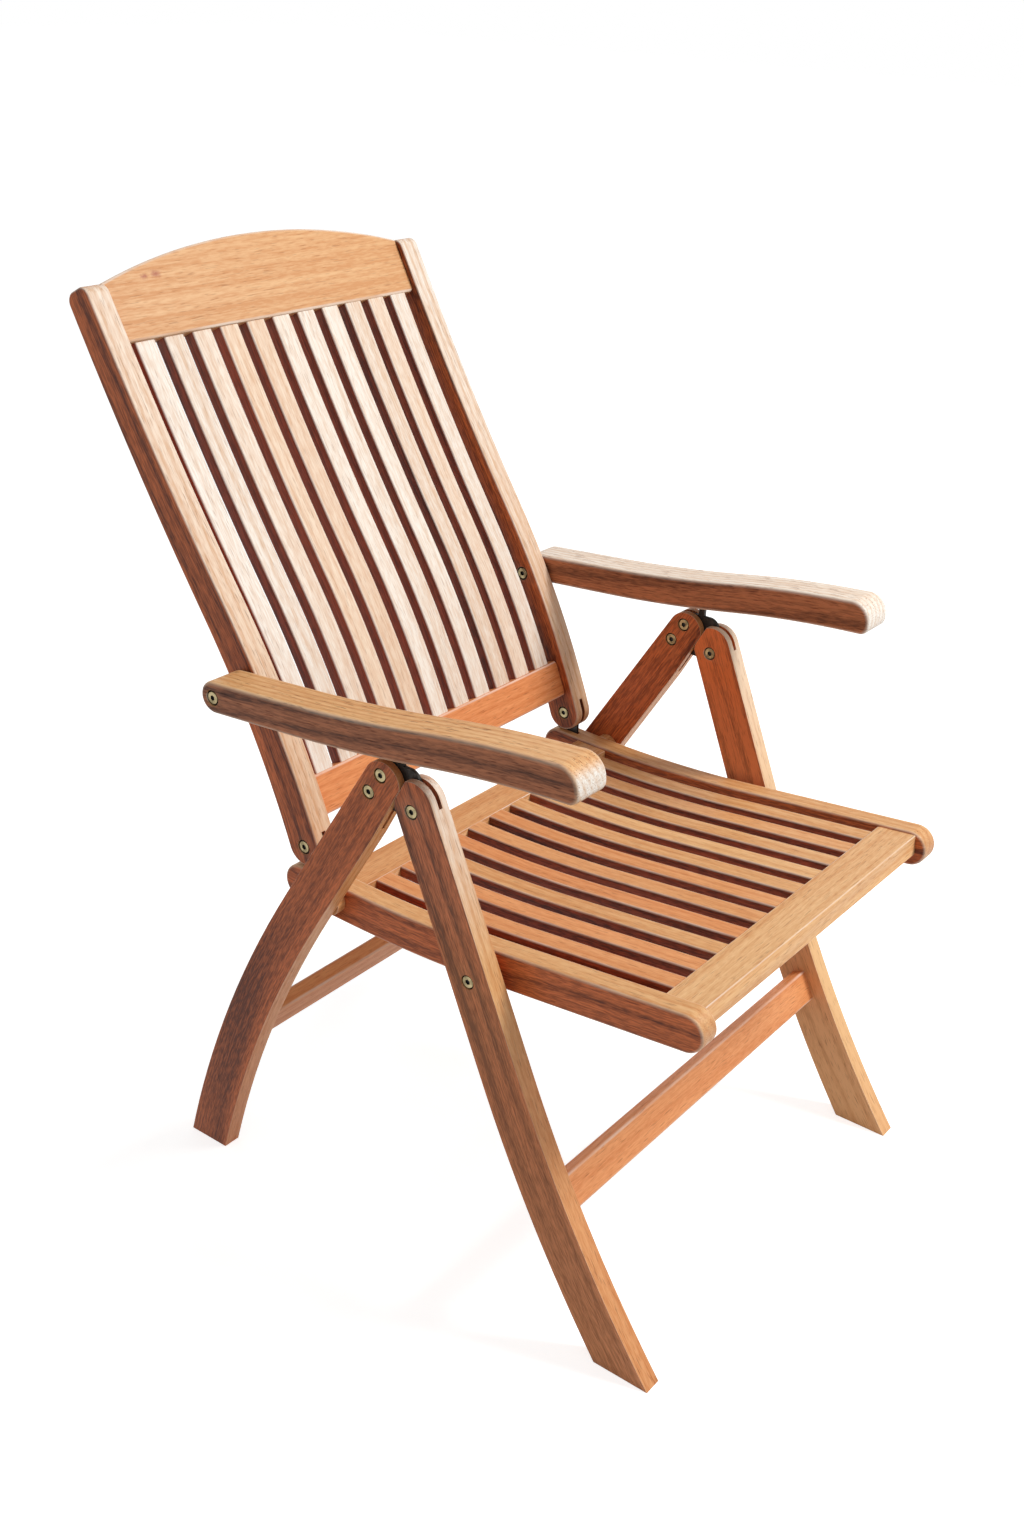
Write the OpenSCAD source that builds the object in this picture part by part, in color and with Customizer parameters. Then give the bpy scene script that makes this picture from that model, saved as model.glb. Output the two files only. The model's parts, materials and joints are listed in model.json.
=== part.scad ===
// Folding reclining armchair in oiled hardwood, drawn open with its back at the second notch.
// The chair faces -Y, its width runs along X, and the floor is z = 0. Millimetres.
// Side outlines are drawn with u, the distance ahead of the rear feet, and z, the height.

/* [Width] */
// Distance between the legs' outer faces
leg_span = 560; // [520:5:640]
// Thickness of every leg
leg_t = 22; // [20:1:26]
// Gap between a leg and the seat rail beside it
leg_gap = 12; // [9:1:16]
// Thickness of a seat rail
rail_t = 26; // [22:1:28]
// Thickness of a back stile
stile_t = 28; // [26:1:32]
// Width of an armrest
arm_w = 46; // [40:1:54]
// Gap between a back stile and the armrest beside it
arm_gap = 2; // [1.5:0.5:4]

/* [Front legs] */
// Width of a front leg at its top
front_leg_top_w = 50; // [46:1:54]
// Width of a front leg at the foot
front_leg_foot_w = 57; // [52:1:62]
// Radius of the sweep in a front leg's lower half
front_leg_r = 1690; // [1500:10:2200]

/* [Rear legs] */
// Width of a rear leg at its top
rear_leg_top_w = 45; // [43:1:47]
// Width of a rear leg at the foot
rear_leg_foot_w = 56; // [50:1:60]
// Radius of the sweep in a rear leg's lower half
rear_leg_r = 1640; // [1500:10:2000]
// Angle that the legs close through when the chair folds
fold_angle = 50; // [46:1:50]

/* [Stretchers] */
// Depth of the stretchers' section along the leg
stretcher_d = 40; // [34:1:44]
// Thickness of the stretchers' section
stretcher_t = 20; // [16:1:22]
// Length of every tenon
tenon_l = 12; // [8:1:14]

/* [Seat] */
// Depth of a seat rail's section
rail_d = 42; // [38:1:44]
// Radius of the dip in the seat
seat_r = 1700; // [1400:20:2400]
// Thickness of a seat slat
seat_slat_t = 14; // [11:1:16]
// Width of a seat slat
seat_slat_w = 24; // [20:1:28]
// How far the seat slats lie below the rails' top edge
slat_drop = 3; // [2:0.5:6]
// Thickness of the crossbars of the seat
crossbar_t = 24; // [22:1:26]
// Width of the front crossbar
front_bar_w = 46; // [40:1:48]
// Width of the rear crossbar
rear_bar_w = 44; // [38:1:48]

/* [Back] */
// Width of a stile at the hinge
stile_foot_w = 44; // [40:1:46]
// Width of a stile at its top
stile_top_w = 34; // [30:1:40]
// Width of a back slat
back_slat_w = 26; // [22:1:29]
// Thickness of a back slat
back_slat_t = 17; // [14:1:18]
// Thickness of the back's two rails
back_rail_t = 21; // [20:1:24]
// How far the rails' faces lie behind the front of the stiles' tops
rail_setback = 7; // [5:1:8]
// How far the slats' faces lie behind the rails' faces
slat_setback = 2; // [1:0.5:3]
// Height of the top rail beside the stiles
top_rail_side_h = 62; // [50:1:70]
// How far the top rail rises in its middle
top_rail_rise = 30; // [15:1:36]
// Height of the bottom rail
bottom_rail_h = 45; // [38:1:50]

/* [Armrests] */
// Depth of an armrest's section
arm_d = 37; // [34:1:40]
// Radius of the upper edge of an armrest's front end
nose_top_r = 22; // [16:1:22]
// Radius of the lower edge of an armrest's front end
nose_low_r = 11; // [8:1:11]
// Width of the hidden groove in an armrest
groove_w = 24; // [22:1:26]
// Height of the teeth between two notches
tooth_h = 2.2; // [1.6:0.2:2.6]
// Angles of the back's five notches, from the drawn one
notches = [-8, 0, 9, 18, 27]; // [-8:1:27]

/* [Fittings] */
// Diameter of the bolts and pegs
bolt_d = 8; // [6:0.5:9]
// Diameter of a bolt head
head_d = 15; // [13:0.5:16]
// Thickness of a bolt head
head_t = 3; // [2:0.5:3.5]
// Diameter of the spacers beside the seat rails
spacer_d = 31; // [26:1:34]
// Diameter of the washers between the stiles and the armrests
arm_spacer_d = 24; // [20:1:28]
// Thickness of the steel plates
plate_t = 4; // [3:0.5:5]
// Diameter of the pin that the armrest's notches drop on
catch_d = 8; // [7:0.5:8]

/* [Clearances] */
// Radial play of a pivot on its bolt
pivot_fit = 0.05; // [0.03:0.01:0.08]
// Play between flat faces that move past each other
slide_gap = 0.3; // [0.2:0.1:0.5]
// Play around a steel plate in its saw cut
slot_gap = 0.5; // [0.4:0.1:0.8]
// Play between the wedge faces of a front and a rear leg
mitre_gap = 0.3; // [0.2:0.1:0.5]
// Radial play of the seat's peg in its groove
groove_gap = 0.5; // [0.4:0.1:0.8]

/* [Hidden] */
SLATS = 11;

// Planes across the width, on the left side
leg_out = leg_span / 2;
leg_in = leg_out - leg_t;
rail_out = leg_in - leg_gap;
rail_in = rail_out - rail_t;
stile_in = rail_out - stile_t;
arm_inner = rail_out + arm_gap;
arm_outer = arm_inner + arm_w;
leg_mid = leg_out - leg_t / 2;

// Pivots in the side view
leg_pivot = [361.7, 570.8];
seat_pivot = [434, 406];
back_pivot = [179, 452];
arm_pivot = [106.8, 619.5];
guide_peg = [223, 406];
back_tip = 34;
catch_pin = [341, 630];
plate_bolt_a = [322.3, 597.1];
plate_bolt_b = [306.4, 574.4];
seam_top = [353.5, 600];
seam_foot = [340, 576.1];

// Ratios of the folding motion
seat_ratio = 1.76;
arm_ratio = 0.28;
head_hole_d = head_d + 1;
head_hole_t = head_t + 0.6;
socket_d = 6;
socket_depth = 2;
glue_gap = 0.1;
faces = 40;

// What a tenon is thinner and narrower by on each side than the piece it stands on
stretcher_shoulders = [4, 7];
crossbar_shoulders = [6, 8];
back_rail_shoulders = [5, 9];
slat_shoulder = 3;

// Plane geometry
function along(a) = [cos(a), sin(a)];
function turned(v, a) = [v.x * cos(a) - v.y * sin(a), v.x * sin(a) + v.y * cos(a)];
function about(c, p, a) = c + turned(p - c, a);
function heading(p, q) = atan2(q.y - p.y, q.x - p.x);
function flipped(list) = [for (i = [len(list) - 1:-1:0]) list[i]];

// A station is a point, a heading and the length walked to it
function arc_walk(from, r, turn, n) = [for (i = [1:n]) let (t = turn * i / n, a = from[1])
    [from[0] + r * [sin(a + t) - sin(a), cos(a) - cos(a + t)], a + t, from[2] + r * t * PI / 180]];
function straight_walk(from, l) = [from[0] + l * along(from[1]), from[1], from[2] + l];
function last(list) = list[len(list) - 1];

// One edge of a bar that follows a walk, with its width going from w0 to w1
function bar_w(walk, i, w0, w1) = w0 + (w1 - w0) * walk[i][2] / last(walk)[2];
function bar_edge(walk, w0, w1, side) = [for (i = [0:len(walk) - 1])
    walk[i][0] + side * bar_w(walk, i, w0, w1) / 2 * along(walk[i][1] + 90)];
function fan(c, r, a0, a1, n = 10) = [for (i = [0:n]) c + r * along(a0 + (a1 - a0) * i / n)];

// A bar with a half-round start and an end whose two corners are rounded by their own radii
function end_corner(e, w, r, side) = e[0] - r * along(e[1]) + side * (w / 2 - r) * along(e[1] + 90);
function bar_outline(walk, w0, w1, left_r, right_r) = let (e = last(walk), a = e[1], n = len(walk) - 2,
    left = bar_edge(walk, w0, w1, 1), right = bar_edge(walk, w0, w1, -1))
    concat(
        fan(walk[0][0], w0 / 2, walk[0][1] + 270, walk[0][1] + 90, 20),
        [for (i = [1:n]) if (walk[i][2] < e[2] - left_r) left[i]],
        fan(end_corner(e, w1, left_r, 1), left_r, a + 90, a),
        fan(end_corner(e, w1, right_r, -1), right_r, a, a - 90),
        [for (i = [n:-1:1]) if (walk[i][2] < e[2] - right_r) right[i]]);

// A polygon grown outwards by r with round corners; the points run anticlockwise
function grown(pts, r) = [for (i = [0:len(pts) - 1]) let (n = len(pts),
    a0 = heading(pts[(i + n - 1) % n], pts[i]) - 90,
    turn = (heading(pts[i], pts[(i + 1) % n]) - 90 - a0 + 720) % 360)
    each fan(pts[i], r, a0, a0 + turn)];

// Middle lines of the bent bars, as stations: straight stretches and the sweeps between them
front_leg_straight = 289;
front_leg_turn = 14;
front_leg_walk = let (a = [[364, 578.5], -67.35, 0], b = straight_walk(a, front_leg_straight))
    concat([a, b], arc_walk(b, front_leg_r, front_leg_turn, 16));
rear_leg_straight = 223.5;
rear_leg_turn = 17;
rear_leg_walk = let (a = [[324.8, 590.3], -122.06, 0], b = straight_walk(a, rear_leg_straight))
    concat([a, b], arc_walk(b, rear_leg_r, rear_leg_turn, 16));
back_low_r = 1100;
back_low_turn = 13.9;
back_high_r = 3200;
back_high_turn = 5.4;
back_walk = let (a = [back_pivot, 109.2, 0], b = arc_walk(a, back_low_r, back_low_turn, 14),
    c = arc_walk(last(b), -back_high_r, -back_high_turn, 10))
    concat([a], b, c, [straight_walk(last(c), back_tip)]);
arm_straight = 105;
arm_rise_r = 1960;
arm_rise_turn = 5.2;
arm_fall_r = 1400;
arm_fall_turn = 7.3;
arm_walk = let (a = [arm_pivot, 4.5, 0], b = straight_walk(a, arm_straight),
    c = arc_walk(b, arm_rise_r, arm_rise_turn, 10)) concat([a, b], c,
    arc_walk(last(c), -arm_fall_r, -arm_fall_turn, 12));

// The seat rail's middle line: a dip, then a straight rise to the nose
seat_low = [280, 400.5];
seat_rise_u = 450;
seat_nose_u = 665;
seat_tail_u = 170;

function dip(u) = seat_low.y + seat_r - sqrt(pow(seat_r, 2) - pow(u - seat_low.x, 2));
seat_slope = tan(asin((seat_rise_u - seat_low.x) / seat_r));
function seat_z(u) = u < seat_rise_u ? dip(u) : dip(seat_rise_u) + (u - seat_rise_u) * seat_slope;
function seat_tilt(u) = atan((seat_z(u + 1) - seat_z(u - 1)) / 2);
seat_steps = 22;
function seat_walk(u0, u1) = [for (i = [0:seat_steps]) let (u = u0 + (u1 - u0) * i / seat_steps)
    [[u, seat_z(u)], seat_tilt(u), i]];
function seat_band(u0, u1, low, high) = let (w = seat_walk(u0, u1)) concat(
    [for (s = w) s[0] + low * along(s[1] + 90)],
    [for (s = flipped(w)) s[0] + high * along(s[1] + 90)]);

// The back's middle line at a length from the hinge, found between two stations
function back_index(s) = max([for (i = [0:len(back_walk) - 2]) back_walk[i][2] <= s ? i : 0]);
function back_at(s) = let (i = back_index(s), p = back_walk[i], q = back_walk[i + 1],
    k = (s - p[2]) / (q[2] - p[2])) [p[0] + k * (q[0] - p[0]), p[1] + k * (q[1] - p[1])];
// s runs up the back and f forward of its middle line
function on_back(s, f) = let (b = back_at(s)) b[0] + f * along(b[1] - 90);
rail_front = stile_top_w / 2 - rail_setback;
slat_front = rail_front - slat_setback;
slat_mid_f = slat_front - back_slat_t / 2;
bottom_rail_s = 23;
top_rail_s = 541;
back_slat_s0 = bottom_rail_s + bottom_rail_h;
back_pitch = (2 * stile_in + back_slat_w) / (SLATS + 1);
seat_pitch = (2 * rail_in + seat_slat_w) / (SLATS + 1);

// The top rail's board: its lean, and the foot of its front face
top_rail_lean = back_at(top_rail_s)[1] - 90;
top_rail_foot = on_back(top_rail_s, rail_front);
top_rail_h = top_rail_side_h + top_rail_rise;

// The middle of the chair's depth: halfway from the back's rearmost edge to the seat's nose
stile_tip_r = 11;
stile_outline = bar_outline(back_walk, stile_foot_w, stile_top_w, stile_tip_r, stile_tip_r);
top_rail_tip = top_rail_foot + top_rail_h * along(top_rail_lean + 90) - back_rail_t * along(top_rail_lean);
rearmost_u = min(concat([top_rail_tip.x], [for (p = stile_outline) p.x]));
depth_mid = (rearmost_u + seat_nose_u + rail_d / 2) / 2;

// Where the catch pin lies in the armrest when the back leans by t, and the lowered place in a notch
function pin_in_arm(t) = let (hinge = about(back_pivot, arm_pivot, t), a = arm_ratio * t)
    about(arm_pivot, catch_pin + arm_pivot - hinge, -a);
arm_drop = (tooth_h + slide_gap) / norm(catch_pin - arm_pivot) * 180 / PI;

// The seat peg's place on the rear leg when the legs have closed by f
function peg_on_leg(f) = about(leg_pivot, about(seat_pivot, guide_peg, seat_ratio * f), -f);
peg_steps = 20;
peg_track = [for (i = [0:peg_steps]) peg_on_leg(fold_angle * i / peg_steps)];
function track_heading(i) = heading(peg_track[max(i - 1, 0)], peg_track[min(i + 1, peg_steps)]);
peg_hw = bolt_d / 2 + groove_gap;

// A side-view outline made solid from x over t
module board(x, t) {
    translate([x, depth_mid, 0]) mirror([0, 1, 0]) rotate([90, 0, 90]) linear_extrude(t) children();
}

// A round bar along X at a point of the side view
module rod(p, x, t, d) {
    translate([x, depth_mid - p.x, p.y]) rotate([0, 90, 0]) cylinder(h = t, d = d, $fn = faces);
}

module both_sides() {
    children();
    mirror([1, 0, 0]) children();
}

// A bolt with a flat head at each end; x0 and x1 are the faces that the heads are sunk into
module bolt(p, x0, x1, d = bolt_d) {
    sink = head_hole_t - head_t;
    difference() {
        union() {
            rod(p, x0 + sink, x1 - x0 - 2 * sink, d);
            rod(p, x0 + sink, head_t, head_d);
            rod(p, x1 - sink - head_t, head_t, head_d);
        }
        for (x = [x0, x1 - sink - socket_depth]) translate([x, depth_mid - p.x, p.y])
            rotate([0, 90, 0]) cylinder(h = socket_depth + sink, d = socket_d, $fn = 6);
    }
}

module head_sink(p, x) {
    rod(p, x, head_hole_t, head_hole_d);
}

// Brass-coloured hardware and the wood's two tones
wood = [0.72, 0.43, 0.26];
pale_wood = [0.82, 0.58, 0.38];
steel = [0.35, 0.33, 0.31];
brass = [0.62, 0.52, 0.30];

// Everything on the far side of the mitre, which the two legs share
seam_heading = heading(seam_foot, seam_top);
past_leg = 90;
module beyond_mitre(side) {
    out = along(seam_heading - 90 * side);
    low = seam_foot - past_leg * along(seam_heading) - mitre_gap / 2 * out;
    high = seam_top + past_leg * along(seam_heading) - mitre_gap / 2 * out;
    polygon([low, high, high + past_leg * out, low + past_leg * out]);
}

// A front leg's rear shoulder is rounded about the pivot, so that the rear leg can pass it
seam_reach = abs((leg_pivot - seam_foot) * along(seam_heading + 90));
knuckle_r = seam_reach + mitre_gap / 2 - slide_gap;
knuckle_sweep = fold_angle + 3;
module outside_knuckle() {
    difference() {
        translate(leg_pivot) polygon(concat([[0, 0]],
            fan([0, 0], past_leg, seam_heading + 90, seam_heading + 90 + knuckle_sweep)));
        translate(leg_pivot) circle(r = knuckle_r, $fn = 2 * faces);
    }
}

module below_floor() {
    translate([-leg_span, -leg_span]) square([3 * leg_span, leg_span]);
}

// Legs: each has a saw cut at its top for the steel plate, open as far as the plate swings
front_saw_cut = [[250, 700], [250, 370], [340, 505], [390, 580], [470, 600], [470, 700]];
rear_saw_cut = [[290, 650], [290, 560], [314, 532], [420, 532], [420, 650]];
foot_r = 4;
module saw_cut(outline) {
    board(leg_mid - plate_t / 2 - slot_gap, plate_t + 2 * slot_gap) polygon(outline);
}

module front_leg() {
    color(wood) difference() {
        board(leg_in, leg_t) difference() {
            polygon(bar_outline(front_leg_walk, front_leg_top_w, front_leg_foot_w, foot_r, foot_r));
            beyond_mitre(-1);
            outside_knuckle();
            below_floor();
        }
        saw_cut(front_saw_cut);
        for (p = [leg_pivot, seat_pivot]) rod(p, leg_in - 1, leg_t + 2, bolt_d + 2 * glue_gap);
        head_sink(leg_pivot, leg_in);
        for (p = [leg_pivot, seat_pivot]) head_sink(p, leg_out - head_hole_t);
        mortise(front_stretcher_at, front_stretcher_lean);
    }
}

module rear_leg() {
    color(wood) difference() {
        board(leg_in, leg_t) difference() {
            polygon(bar_outline(rear_leg_walk, rear_leg_top_w, rear_leg_foot_w, foot_r, foot_r));
            beyond_mitre(1);
            below_floor();
        }
        saw_cut(rear_saw_cut);
        for (p = [plate_bolt_a, plate_bolt_b]) {
            rod(p, leg_in - 1, leg_t + 2, bolt_d + 2 * glue_gap);
            head_sink(p, leg_in);
            head_sink(p, leg_out - head_hole_t);
        }
        peg_groove();
        mortise(rear_stretcher_at, rear_stretcher_lean);
    }
}

// The curved groove in a rear leg's inner face that steers the seat while the chair folds
module peg_groove() {
    start = track_heading(0);
    end = track_heading(peg_steps);
    board(leg_in - 1, leg_t / 2 + 1) polygon(concat(
        fan(peg_track[0], peg_hw, start + 270, start + 90),
        [for (i = [1:peg_steps - 1]) peg_track[i] + peg_hw * along(track_heading(i) + 90)],
        fan(last(peg_track), peg_hw, end + 90, end - 90),
        [for (i = [peg_steps - 1:-1:1]) peg_track[i] - peg_hw * along(track_heading(i) + 90)]));
}

// Stretchers: a bar between the legs with a tenon in each
front_stretcher_at = [540.2, 170.9];
front_stretcher_lean = 26.3;
rear_stretcher_at = [98, 192];
rear_stretcher_lean = -25;
tenon_t = stretcher_t - 2 * stretcher_shoulders[0];
tenon_h = stretcher_d - 2 * stretcher_shoulders[1];

module bar_between(p, lean, half, d, t) {
    translate([0, depth_mid - p.x, p.y]) rotate([lean, 0, 0]) translate([-half, -t / 2, -d / 2])
        cube([2 * half, t, d]);
}

module mortise(p, lean) {
    bar_between(p, lean, leg_in + tenon_l + glue_gap, tenon_h + 2 * glue_gap, tenon_t + 2 * glue_gap);
}

module stretcher(p, lean) {
    color(pale_wood) {
        bar_between(p, lean, leg_in, stretcher_d, stretcher_t);
        bar_between(p, lean, leg_in + tenon_l, tenon_h, tenon_t);
    }
}

// The steel plate that joins a front and a rear leg at the top
plate_r = 14;
plate_top = [352, plate_bolt_a.y];
module leg_hinge_plate() {
    color(steel) difference() {
        board(leg_mid - plate_t / 2, plate_t)
            polygon(grown([plate_top, plate_bolt_a, plate_bolt_b, leg_pivot], plate_r));
        rod(leg_pivot, leg_in, leg_t, bolt_d + 2 * pivot_fit);
        for (p = [plate_bolt_a, plate_bolt_b]) rod(p, leg_in, leg_t, bolt_d + 2 * glue_gap);
    }
}

// The catch: a pin across the leg on a short tang that stands on the plate's top edge
module arm_catch() {
    foot = plate_bolt_a.y + plate_r;
    color(steel) {
        rod(catch_pin, leg_in, leg_t, catch_d);
        board(leg_mid - plate_t / 2, plate_t) translate([catch_pin.x - catch_d / 2, foot])
            square([catch_d, catch_pin.y - foot]);
    }
}

// Seat
function slat_x(i, pitch) = (i - (SLATS + 1) / 2) * pitch;
slat_top = rail_d / 2 - slat_drop;
front_bar_u = seat_nose_u + 8 - front_bar_w;
rear_bar_u = 201;
peg_seat = tenon_l + 2;

// The back hinge's plate stands in a saw cut of the rail, from this height up
hinge_plate_r = 14;
hinge_plate_foot = 390;
hinge_cut_hw = hinge_plate_r + 2;
hinge_cut_z = [hinge_plate_foot - 2, back_pivot.y + 8];

module seat_rail() {
    walk = seat_walk(seat_tail_u, seat_nose_u);
    nose = last(walk);
    tail = walk[0];
    r = rail_d / 2;
    color(wood) difference() {
        board(rail_in, rail_t) polygon(concat(
            fan(tail[0], r, tail[1] + 270, tail[1] + 90, 20),
            [for (s = walk) s[0] + r * along(s[1] + 90)],
            fan(nose[0], r, nose[1] + 90, nose[1] - 90, 20),
            [for (s = flipped(walk)) s[0] - r * along(s[1] + 90)]));
        rod(seat_pivot, rail_in - 1, rail_t + 2, bolt_d + 2 * pivot_fit);
        rod(seat_pivot, rail_in - 1, head_hole_t + 1, head_hole_d + 1);
        rod(guide_peg, rail_in + peg_seat, rail_t, bolt_d + 2 * glue_gap);
        board(plate_x - slot_gap, plate_t + 2 * slot_gap)
            translate([back_pivot.x - hinge_cut_hw, hinge_cut_z[0]])
            square([2 * hinge_cut_hw, hinge_cut_z[1] - hinge_cut_z[0]]);
        crossbar_tenon(front_bar_u, front_bar_w, glue_gap);
        crossbar_tenon(rear_bar_u, rear_bar_w, glue_gap);
    }
}

// A crossbar follows the seat's line, flush with the slats' top
module crossbar(u, w) {
    color(pale_wood) difference() {
        union() {
            board(-rail_in, 2 * rail_in) polygon(seat_band(u, u + w, slat_top - crossbar_t, slat_top));
            crossbar_tenon(u, w, 0);
        }
        for (i = [1:SLATS]) seat_slat_end(i, glue_gap);
    }
}

module crossbar_tenon(u, w, play) {
    low = slat_top - crossbar_t + crossbar_shoulders[0] - play;
    high = slat_top - crossbar_shoulders[0] + play;
    side = crossbar_shoulders[1] - play;
    half = rail_in + tenon_l + play;
    board(-half, 2 * half) polygon(seat_band(u + side, u + w - side, low, high));
}

module seat_slat_end(i, play) {
    shoulder = slat_shoulder - play;
    w = seat_slat_w - 2 * shoulder;
    board(slat_x(i, seat_pitch) - w / 2, w) polygon(seat_band(rear_bar_u + rear_bar_w - tenon_l - play,
        front_bar_u + tenon_l + play, slat_top - seat_slat_t + shoulder, slat_top - shoulder));
}

module seat_slat(i) {
    color(pale_wood) {
        board(slat_x(i, seat_pitch) - seat_slat_w / 2, seat_slat_w)
            polygon(seat_band(rear_bar_u + rear_bar_w, front_bar_u, slat_top - seat_slat_t, slat_top));
        seat_slat_end(i, 0);
    }
}

module disc_beside_rail(p, d) {
    color(wood) difference() {
        rod(p, rail_out + slide_gap, leg_gap - 2 * slide_gap, d);
        rod(p, rail_out - 1, leg_gap + 2, bolt_d + 2 * pivot_fit);
    }
}

module seat_guide_peg() {
    tip = leg_in + leg_t / 2 - 1;
    color(steel) rod(guide_peg, rail_in + peg_seat, tip - rail_in - peg_seat, bolt_d);
}

// Back hinge: a steel plate stands in the rail's saw cut and the stile turns on it
plate_x = stile_in + (stile_t - plate_t) / 2;
module back_hinge_plate() {
    foot = [back_pivot.x, hinge_plate_foot + hinge_plate_r];
    color(steel) difference() {
        board(plate_x, plate_t) polygon(grown([foot, foot + [0.5, 0], back_pivot], hinge_plate_r));
        rod(back_pivot, plate_x - 1, plate_t + 2, bolt_d + 2 * pivot_fit);
    }
}

// The room that the hinge plate needs in a stile, from leaned back to folded
hinge_room_r = hinge_plate_r + 1.5;
hinge_room_turns = [-122, -100, -70, -40, -10, 12];
module hinge_plate_room() {
    board(plate_x - slot_gap, plate_t + 2 * slot_gap) translate(back_pivot) {
        circle(r = hinge_room_r, $fn = faces);
        for (a = hinge_room_turns) rotate(a) translate([0, -hinge_room_r])
            square([stile_foot_w, 2 * hinge_room_r]);
    }
}

module back_stile() {
    color(wood) difference() {
        board(stile_in, stile_t) polygon(stile_outline);
        hinge_plate_room();
        rod(back_pivot, stile_in - 1, stile_t + 2, bolt_d + 2 * pivot_fit);
        rod(arm_pivot, stile_in - 1, stile_t + 2, bolt_d + 2 * pivot_fit);
        for (p = [back_pivot, arm_pivot]) rod(p, stile_in - 1, head_hole_t + 1, head_hole_d + 1);
        rod(back_pivot, rail_out - head_hole_t, head_hole_t + 1, head_hole_d + 1);
        back_rail_tenon(bottom_rail_s, bottom_rail_h, glue_gap);
        back_rail_tenon(top_rail_s, top_rail_side_h, glue_gap);
    }
}

function back_band(s0, s1, f0, f1, n) = concat(
    [for (i = [0:n]) on_back(s0 + (s1 - s0) * i / n, f0)],
    [for (i = [n:-1:0]) on_back(s0 + (s1 - s0) * i / n, f1)]);

module back_rail_tenon(s, h, play) {
    half = stile_in + tenon_l + play;
    face = back_rail_shoulders[0] - play;
    side = back_rail_shoulders[1] - play;
    board(-half, 2 * half) polygon(back_band(s + side, s + h - side, rail_front - back_rail_t + face,
        rail_front - face, 2));
}

module back_slat_end(i, play) {
    w = back_slat_w - 2 * (slat_shoulder - play);
    f = slat_shoulder + play;
    board(slat_x(i, back_pitch) - w / 2, w) polygon(back_band(back_slat_s0 - tenon_l - play,
        top_rail_s + tenon_l + play, slat_mid_f - f, slat_mid_f + f, 24));
}

module back_bottom_rail() {
    color(pale_wood) difference() {
        union() {
            board(-stile_in, 2 * stile_in) polygon(back_band(bottom_rail_s, bottom_rail_s + bottom_rail_h,
                rail_front - back_rail_t, rail_front, 3));
            back_rail_tenon(bottom_rail_s, bottom_rail_h, 0);
        }
        for (i = [1:SLATS]) back_slat_end(i, glue_gap);
    }
}

// The top rail is a flat board whose upper edge is one shallow arch
module back_top_rail() {
    r = (pow(stile_in, 2) + pow(top_rail_rise, 2)) / (2 * top_rail_rise);
    span = asin(stile_in / r);
    color(pale_wood) difference() {
        union() {
            translate([0, depth_mid - top_rail_foot.x, top_rail_foot.y]) rotate([90 - top_rail_lean, 0, 0])
                mirror([0, 0, 1]) linear_extrude(back_rail_t) polygon(concat(
                    [[-stile_in, 0], [stile_in, 0]], fan([0, top_rail_h - r], r, 90 - span, 90 + span, 24)));
            back_rail_tenon(top_rail_s, top_rail_side_h, 0);
        }
        for (i = [1:SLATS]) back_slat_end(i, glue_gap);
    }
}

module back_slat(i) {
    color(pale_wood) {
        board(slat_x(i, back_pitch) - back_slat_w / 2, back_slat_w) polygon(back_band(back_slat_s0,
            top_rail_s, slat_front - back_slat_t, slat_front, 24));
        back_slat_end(i, 0);
    }
}

// Armrests: a groove under each takes the catch pin, with a notch above it for each of the back's angles
arm_taper = 3;
groove_past = 6;
module armrest() {
    groove_x = leg_mid - groove_w / 2;
    below = catch_pin.y - arm_d;
    ceiling = [for (t = [notches[0] - groove_past:3:last(notches) + groove_past + 1])
        pin_in_arm(t) + [0, catch_d / 2 + slide_gap]];
    side = bar_outline(arm_walk, arm_d - arm_taper, arm_d, nose_top_r, nose_low_r);
    color(wood) difference() {
        board(arm_inner, arm_w) polygon(side);
        board(groove_x, groove_w) polygon(concat(ceiling, [[last(ceiling).x, below], [ceiling[0].x, below]]));
        for (t = notches) rod(about(arm_pivot, pin_in_arm(t), arm_drop), groove_x, groove_w, catch_d + 0.4);
        rod(arm_pivot, arm_inner - 1, arm_w + 2, bolt_d + 2 * pivot_fit);
        rod(arm_pivot, arm_outer - head_hole_t, head_hole_t + 1, head_hole_d + 1);
    }
}

module arm_spacer() {
    color(brass) difference() {
        rod(arm_pivot, rail_out + slide_gap, arm_gap - 2 * slide_gap, arm_spacer_d);
        rod(arm_pivot, rail_out, arm_gap, bolt_d + 2 * pivot_fit);
    }
}

front_leg();  // front_leg_left
mirror([1, 0, 0]) front_leg();  // front_leg_right
stretcher(front_stretcher_at, front_stretcher_lean);  // front_stretcher
color(brass) both_sides() bolt(leg_pivot, leg_in, leg_out);  // leg_pivot_bolts
color(brass) both_sides() bolt(seat_pivot, rail_in, leg_out);  // seat_pivot_bolts
rear_leg();  // rear_leg_left
mirror([1, 0, 0]) rear_leg();  // rear_leg_right
stretcher(rear_stretcher_at, rear_stretcher_lean);  // rear_stretcher
both_sides() leg_hinge_plate();  // leg_hinge_plates
color(brass) both_sides()  // plate_bolts
    for (p = [plate_bolt_a, plate_bolt_b]) bolt(p, leg_in, leg_out);
both_sides() arm_catch();  // arm_catches
seat_rail();  // seat_rail_left
mirror([1, 0, 0]) seat_rail();  // seat_rail_right
crossbar(front_bar_u, front_bar_w);  // seat_front_bar
crossbar(rear_bar_u, rear_bar_w);  // seat_rear_bar
for (i = [1:SLATS]) seat_slat(i);
both_sides() disc_beside_rail(seat_pivot, spacer_d);  // seat_pivot_spacers
both_sides() seat_guide_peg();  // seat_guide_pegs
both_sides() disc_beside_rail(guide_peg, spacer_d);  // seat_guide_spacers
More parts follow.
